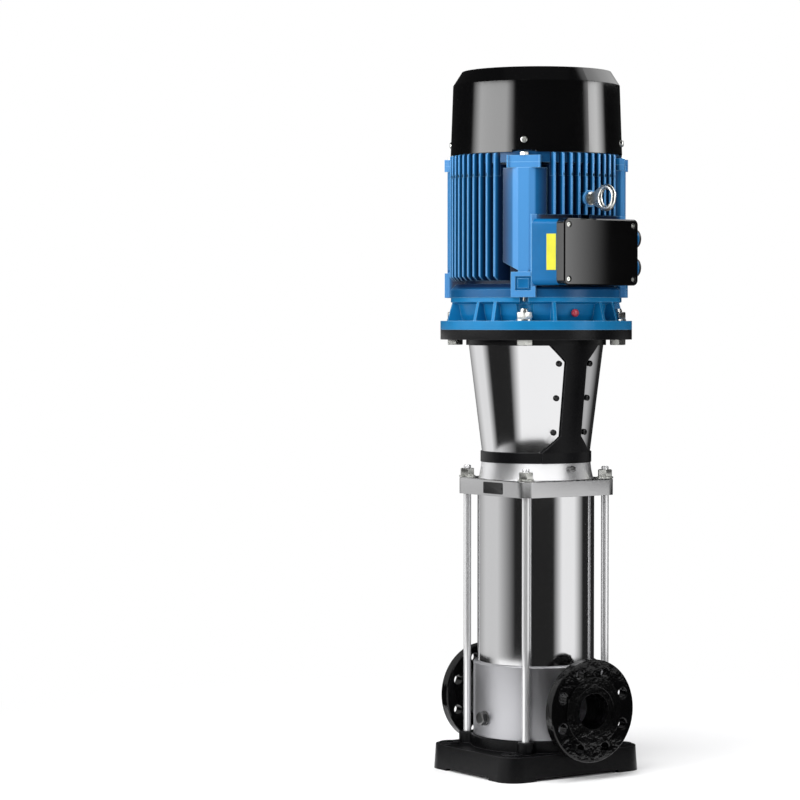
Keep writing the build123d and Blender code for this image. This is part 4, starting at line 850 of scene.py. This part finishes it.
def small_screws():
    """Button screws of the guards and pan screws of the lid and the fan cover."""
    boxes = solids_of("guard_screws")
    head = button(GUARD_HEAD_R, GUARD_HEAD_H, GUARD_SOCKET)
    shank = start("cylinder", vertices=16, radius=GUARD_HEAD_R * 0.5, depth=GUARD_SHANK_L,
                  location=(0, 0, -GUARD_SHANK_L / 2))
    screw = shaded(unite(head, shank))
    seats = []
    for low, high in boxes:
        middle = (low + high) / 2
        seats.append(middle - outward(middle) * (GUARD_HEAD_H - GUARD_SHANK_L) / 2)
    for piece in place_copies(screw, "guard_screw", seats, outward, "black_screw"):
        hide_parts("guard_screws")

    boxes = solids_of("lid_screws")
    head_r = (boxes[0][1].y - boxes[0][0].y) / 2
    length = boxes[0][1].x - boxes[0][0].x
    head = crossed(head_r, LID_HEAD_H)
    shank = start("cylinder", vertices=16, radius=head_r * 0.5, depth=length - LID_HEAD_H,
                  location=(0, 0, (LID_HEAD_H - length) / 2))
    screw = shaded(unite(head, shank))
    seats = [
        Vector((high.x - LID_HEAD_H, (low.y + high.y) / 2, (low.z + high.z) / 2)) for low, high in boxes]
    for piece in place_copies(screw, "lid_screw", seats, (1, 0, 0), "zinc_steel", turn=0.5):
        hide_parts("lid_screws")

    boxes = solids_of("fan_cover_screws")
    head_r = (boxes[0][1].z - boxes[0][0].z) / 2
    head = crossed(head_r, COVER_HEAD_H)
    shank = start("cylinder", vertices=16, radius=head_r * 0.4, depth=COVER_SHANK_L,
                  location=(0, 0, -COVER_SHANK_L / 2))
    screw = shaded(unite(head, shank))
    seats = []
    for low, high in boxes:
        way = outward((low + high) / 2)
        tip = sum(max(low[i] * way[i], high[i] * way[i]) for i in (0, 1))
        tip -= 2 * head_r * abs(way.x * way.y)
        middle_z = (low.z + high.z) / 2
        seats.append(Vector((way.x * (tip - COVER_HEAD_H), way.y * (tip - COVER_HEAD_H), middle_z)))
    for piece in place_copies(screw, "fan_cover_screw", seats, outward, "zinc_steel", turn=0.4):
        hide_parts("fan_cover_screws")


def plugs():
    """Drain and vent plugs, and the red plug of the bell."""
    low, high = solids_of("drain_plug")[0]
    collar_r = (high.x - low.x) / 2
    reach = high.y - low.y
    head = hexagon(DRAIN_ACROSS, DRAIN_HEAD_H, DRAIN_COLLAR_T)
    collar = start("cylinder", vertices=48, radius=collar_r, depth=DRAIN_COLLAR_T,
                   location=(0, 0, DRAIN_COLLAR_T / 2))
    pick(collar, lambda middle, way: middle.z > DRAIN_COLLAR_T * 0.9, "EDGE")
    bpy.ops.mesh.bevel(offset=DRAIN_COLLAR_EDGE, segments=2)
    leave()
    shank_l = reach - DRAIN_COLLAR_T - DRAIN_HEAD_H
    shank = start("cylinder", vertices=24, radius=DRAIN_SHANK_R, depth=shank_l, location=(0, 0, -shank_l / 2))
    plug = shaded(unite(unite(head, collar), shank))
    seat = Vector(((low.x + high.x) / 2, high.y - shank_l, (low.z + high.z) / 2))
    for piece in place_copies(plug, "drain_screw", [seat], (0, -1, 0), "machined_stainless", turn=0.26):
        piece.data.materials[0] = PLUG_FINISH
        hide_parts("drain_plug")

    low, high = solids_of("vent_plug")[0]
    head = hexagon((high.y - low.y) * 0.99, VENT_HEAD_H)
    slot = start("cube", size=1)
    slot.data.transform(Matrix.Translation((0, 0, VENT_HEAD_H)) @ Matrix.Diagonal(
        (SLOT_L, VENT_SLOT_W, SLOT_DEPTH, 1)))
    combine(head, slot, "DIFFERENCE")
    shank_l = high.x - low.x - VENT_HEAD_H
    shank = start("cylinder", vertices=24, radius=VENT_SHANK_R, depth=shank_l, location=(0, 0, -shank_l / 2))
    plug = shaded(unite(head, shank))
    seat = Vector((high.x - VENT_HEAD_H, 0, (low.z + high.z) / 2))
    for piece in place_copies(plug, "vent_screw", [seat], (1, 0, 0), "machined_stainless"):
        piece.data.materials[0] = PLUG_FINISH
        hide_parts("vent_plug")

    low, high = solids_of("bell_drain_plug")[0]
    middle = (low + high) / 2
    cap_r = (high.z - low.z) / 2
    cap = start("cylinder", vertices=32, radius=cap_r, depth=RED_CAP_H * 0.5,
                location=(0, 0, RED_CAP_H * 0.25))
    pick(cap, lambda face, normal: normal.z > 0.9)
    for rise, share in ((0.22, 0.94), (0.16, 0.82), (0.12, 0.6)):
        step_up(RED_CAP_H * rise, share)
    leave()
    drive = start("cube", size=1)
    drive.data.transform(Matrix.Translation((0, 0, RED_CAP_H)) @ Matrix.Diagonal(
        (SLOT_L, RED_SLOT_W, SLOT_DEPTH, 1)))
    combine(cap, drive, "DIFFERENCE")
    shank = start("cylinder", vertices=24, radius=cap_r * 0.68, depth=RED_PLUG_L - RED_CAP_H,
                  location=(0, 0, (RED_CAP_H - RED_PLUG_L) / 2))
    plug = shaded(unite(cap, shank))
    seat = middle + outward(middle) * (RED_PLUG_L / 2 - RED_CAP_H)
    for piece in place_copies(plug, "red_plug", [seat], outward, "red_plug"):
        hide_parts("bell_drain_plug")


def look_from(azimuth, height, distance):
    """A point at a height on the circle of that distance round the shaft."""
    return Vector((math.sin(azimuth) * distance, -math.cos(azimuth) * distance, height))


def place_camera():
    camera = bpy.data.objects.new("camera", bpy.data.cameras.new("camera"))
    bpy.context.scene.collection.objects.link(camera)
    camera.data.lens = FOCAL_MM
    camera.data.sensor_width = 36
    camera.location = look_from(VIEW_AZIMUTH, VIEW_HEIGHT, VIEW_DISTANCE)
    level = Quaternion((0, 0, 1), VIEW_AZIMUTH + VIEW_YAW)
    tilt = Quaternion((1, 0, 0), math.radians(90) - VIEW_PITCH)
    camera.rotation_mode = "QUATERNION"
    camera.rotation_quaternion = level @ tilt
    bpy.context.scene.camera = camera


def area_light(name, azimuth, height, distance, width, length, watts, aim=0.6, glossy=False):
    """A soft box at an azimuth round the pump; unless it is glossy, reflections don't show it."""
    light = bpy.data.lights.new(name, "AREA")
    light.shape = "RECTANGLE"
    light.size = width
    light.size_y = length
    light.energy = watts
    lamp = bpy.data.objects.new(name, light)
    lamp.location = look_from(math.radians(azimuth), height, distance)
    lamp.rotation_mode = "QUATERNION"
    lamp.rotation_quaternion = (Vector((0, 0, aim)) - lamp.location).to_track_quat("-Z", "Y")
    lamp.visible_glossy = glossy
    bpy.context.scene.collection.objects.link(lamp)
    return lamp


# The surround's level where light falls on the pump, and where its gloss mirrors the surround
SURROUND_LIGHT = 0.28
SURROUND_GLOSS = 0.06

# The floor is pale near the pump and pure white further out
FLOOR_FADE_R = 0.85
FLOOR_FADE_W = 0.55
WHITE = (1.0, 1.0, 1.0)
NO_LIGHT = (0.0, 0.0, 0.0)

# Tall soft boxes in a ring round the pump, which only its gloss shows. Each ring has its heights,
# the radius of the round part that mirrors it, and its boxes from left to right as the camera sees
# them in that part: both ends from -1 to 1, the width over which they fade, and the level
RING_R = 0.42
BETWEEN = 0.02                 # the level outside the boxes
SOFT_BOXES = {
    "port_ring": (-0.02, 0.17, 0.114, (
        (-0.60, -0.30, 0.20, 1.2),)),
    "sleeve_ring": (0.17, 0.515, 0.107, (
        (-0.85, -0.65, 0.30, 0.7), (0.45, 0.65, 0.15, 1.0))),
    "guard_ring": (0.515, 0.80, 0.111, (
        (-0.90, -0.80, 0.10, 0.9), (-0.25, 0.45, 0.15, 1.1), (0.80, 0.85, 0.10, 0.5))),
    "motor_ring": (0.80, 1.10, 0.165, (
        (-0.70, -0.40, 0.15, 3.0), (0.45, 0.50, 0.10, 4.0))),
    "cover_ring": (1.10, 1.29, 0.153, (
        (-0.65, -0.35, 0.10, 8.0), (0.65, 0.70, 0.10, 10.0))),
    "crown_ring": (1.29, 1.80, 0.153, (
        (0.80, 0.90, 0.10, 2.5),)),
}


def soft_ring(name, low, high, mirror_r, boxes):
    """A ring of card that only reflections show, with its soft boxes lit."""
    bpy.ops.object.select_all(action="DESELECT")
    bpy.ops.mesh.primitive_cylinder_add(
        vertices=96, radius=RING_R, depth=high - low, end_fill_type="NOTHING")
    card = bpy.context.object
    card.name = name
    card.data.transform(Matrix.Translation((0, 0, (low + high) / 2)))
    strength = max(level for left, right, fade, level in boxes)
    paint = Finish(name, {
        "Base Color": (0, 0, 0, 1), "Roughness": 1.0, "Specular IOR Level": 0.0,
        "Emission Strength": strength})
    x, y = paint.axis("X"), paint.axis("Y")
    sine, cosine = math.sin(VIEW_AZIMUTH), math.cos(VIEW_AZIMUTH)
    sideways, forward = x * cosine + y * sine, x * sine - y * cosine
    turn = sideways.combine("ARCTAN2", sideways, forward)
    ramp = paint.node("ShaderNodeValToRGB", None, {0: turn / math.tau + 0.5})
    levels = []
    for left, right, fade, level in boxes:
        levels += [(left - fade, BETWEEN), (left, level), (right, level), (right + fade, BETWEEN)]
    stops = ramp.color_ramp.elements
    while len(stops) < len(levels):
        stops.new(1.0)
    for stop, (across, level) in zip(stops, levels):
        across = max(-1.0, min(1.0, across))
        lean = math.asin(across)
        stop.position = (2 * lean - math.asin(across * mirror_r / RING_R)) / math.tau + 0.5
        stop.color = (level / strength,) * 3 + (1.0,)
    paint.feed("Emission Color", Signal(paint, ramp.outputs["Color"]))
    card.data.materials.append(paint.material)
    card.visible_camera = False
    card.visible_diffuse = False
    card.visible_shadow = False
    card.visible_transmission = False


def lay_floor():
    """A pale floor that runs out into white."""
    bpy.ops.object.select_all(action="DESELECT")
    bpy.ops.mesh.primitive_plane_add(size=60)
    floor = bpy.context.object
    floor.name = "studio_floor"
    paint = Finish("studio_floor", {"Roughness": 0.9, "Specular IOR Level": 0.0, "Emission Strength": 1.0})
    far = paint.reach().over(FLOOR_FADE_R, FLOOR_FADE_W)
    pale = paint.blend(paint.noise(3), (0.86, 0.86, 0.87), (0.90, 0.90, 0.90))
    paint.feed("Base Color", paint.blend(far, pale, NO_LIGHT))
    paint.feed("Emission Color", paint.blend(far, NO_LIGHT, WHITE))
    floor.data.materials.append(paint.material)


def surround():
    """White to the camera, and dimmer in light and gloss."""
    world = bpy.data.worlds.new("surround")
    bpy.context.scene.world = world
    world.use_nodes = True
    tree = world.node_tree
    ray = tree.nodes.new("ShaderNodeLightPath")
    fill = tree.nodes.new("ShaderNodeMapRange")
    fill.inputs["To Min"].default_value = SURROUND_LIGHT
    fill.inputs["To Max"].default_value = SURROUND_GLOSS
    tree.links.new(ray.outputs["Is Glossy Ray"], fill.inputs["Value"])
    level = tree.nodes.new("ShaderNodeMapRange")
    level.inputs["To Max"].default_value = 1.0
    tree.links.new(fill.outputs["Result"], level.inputs["To Min"])
    tree.links.new(ray.outputs["Is Camera Ray"], level.inputs["Value"])
    backing = tree.nodes["Background"]
    backing.inputs["Color"].default_value = (1, 1, 1, 1)
    tree.links.new(level.outputs["Result"], backing.inputs["Strength"])


def lights():
    area_light("key_box", 5, 1.4, 2.4, 1.4, 1.6, 42)
    area_light("side_box", 112, 1.5, 2.4, 1.2, 1.6, 17)
    area_light("back_box", 225, 1.5, 2.4, 1.2, 1.4, 36)
    area_light("top_box", 40, 3.2, 0.7, 1.6, 1.6, 62)
    area_light("front_box", 35, 2.2, 1.9, 0.6, 0.6, 15, glossy=True)
    for name, (low, high, mirror_r, boxes) in SOFT_BOXES.items():
        soft_ring(name, low, high, mirror_r, boxes)


def set_view():
    view = bpy.context.scene.view_settings
    view.view_transform = "Standard"


dress_nodes()
motor_fasteners()
cap_screws()
lug_caps()
shield_fins()
rating_plate()
stay_nuts()
small_screws()
plugs()
place_camera()
lay_floor()
surround()
lights()
set_view()
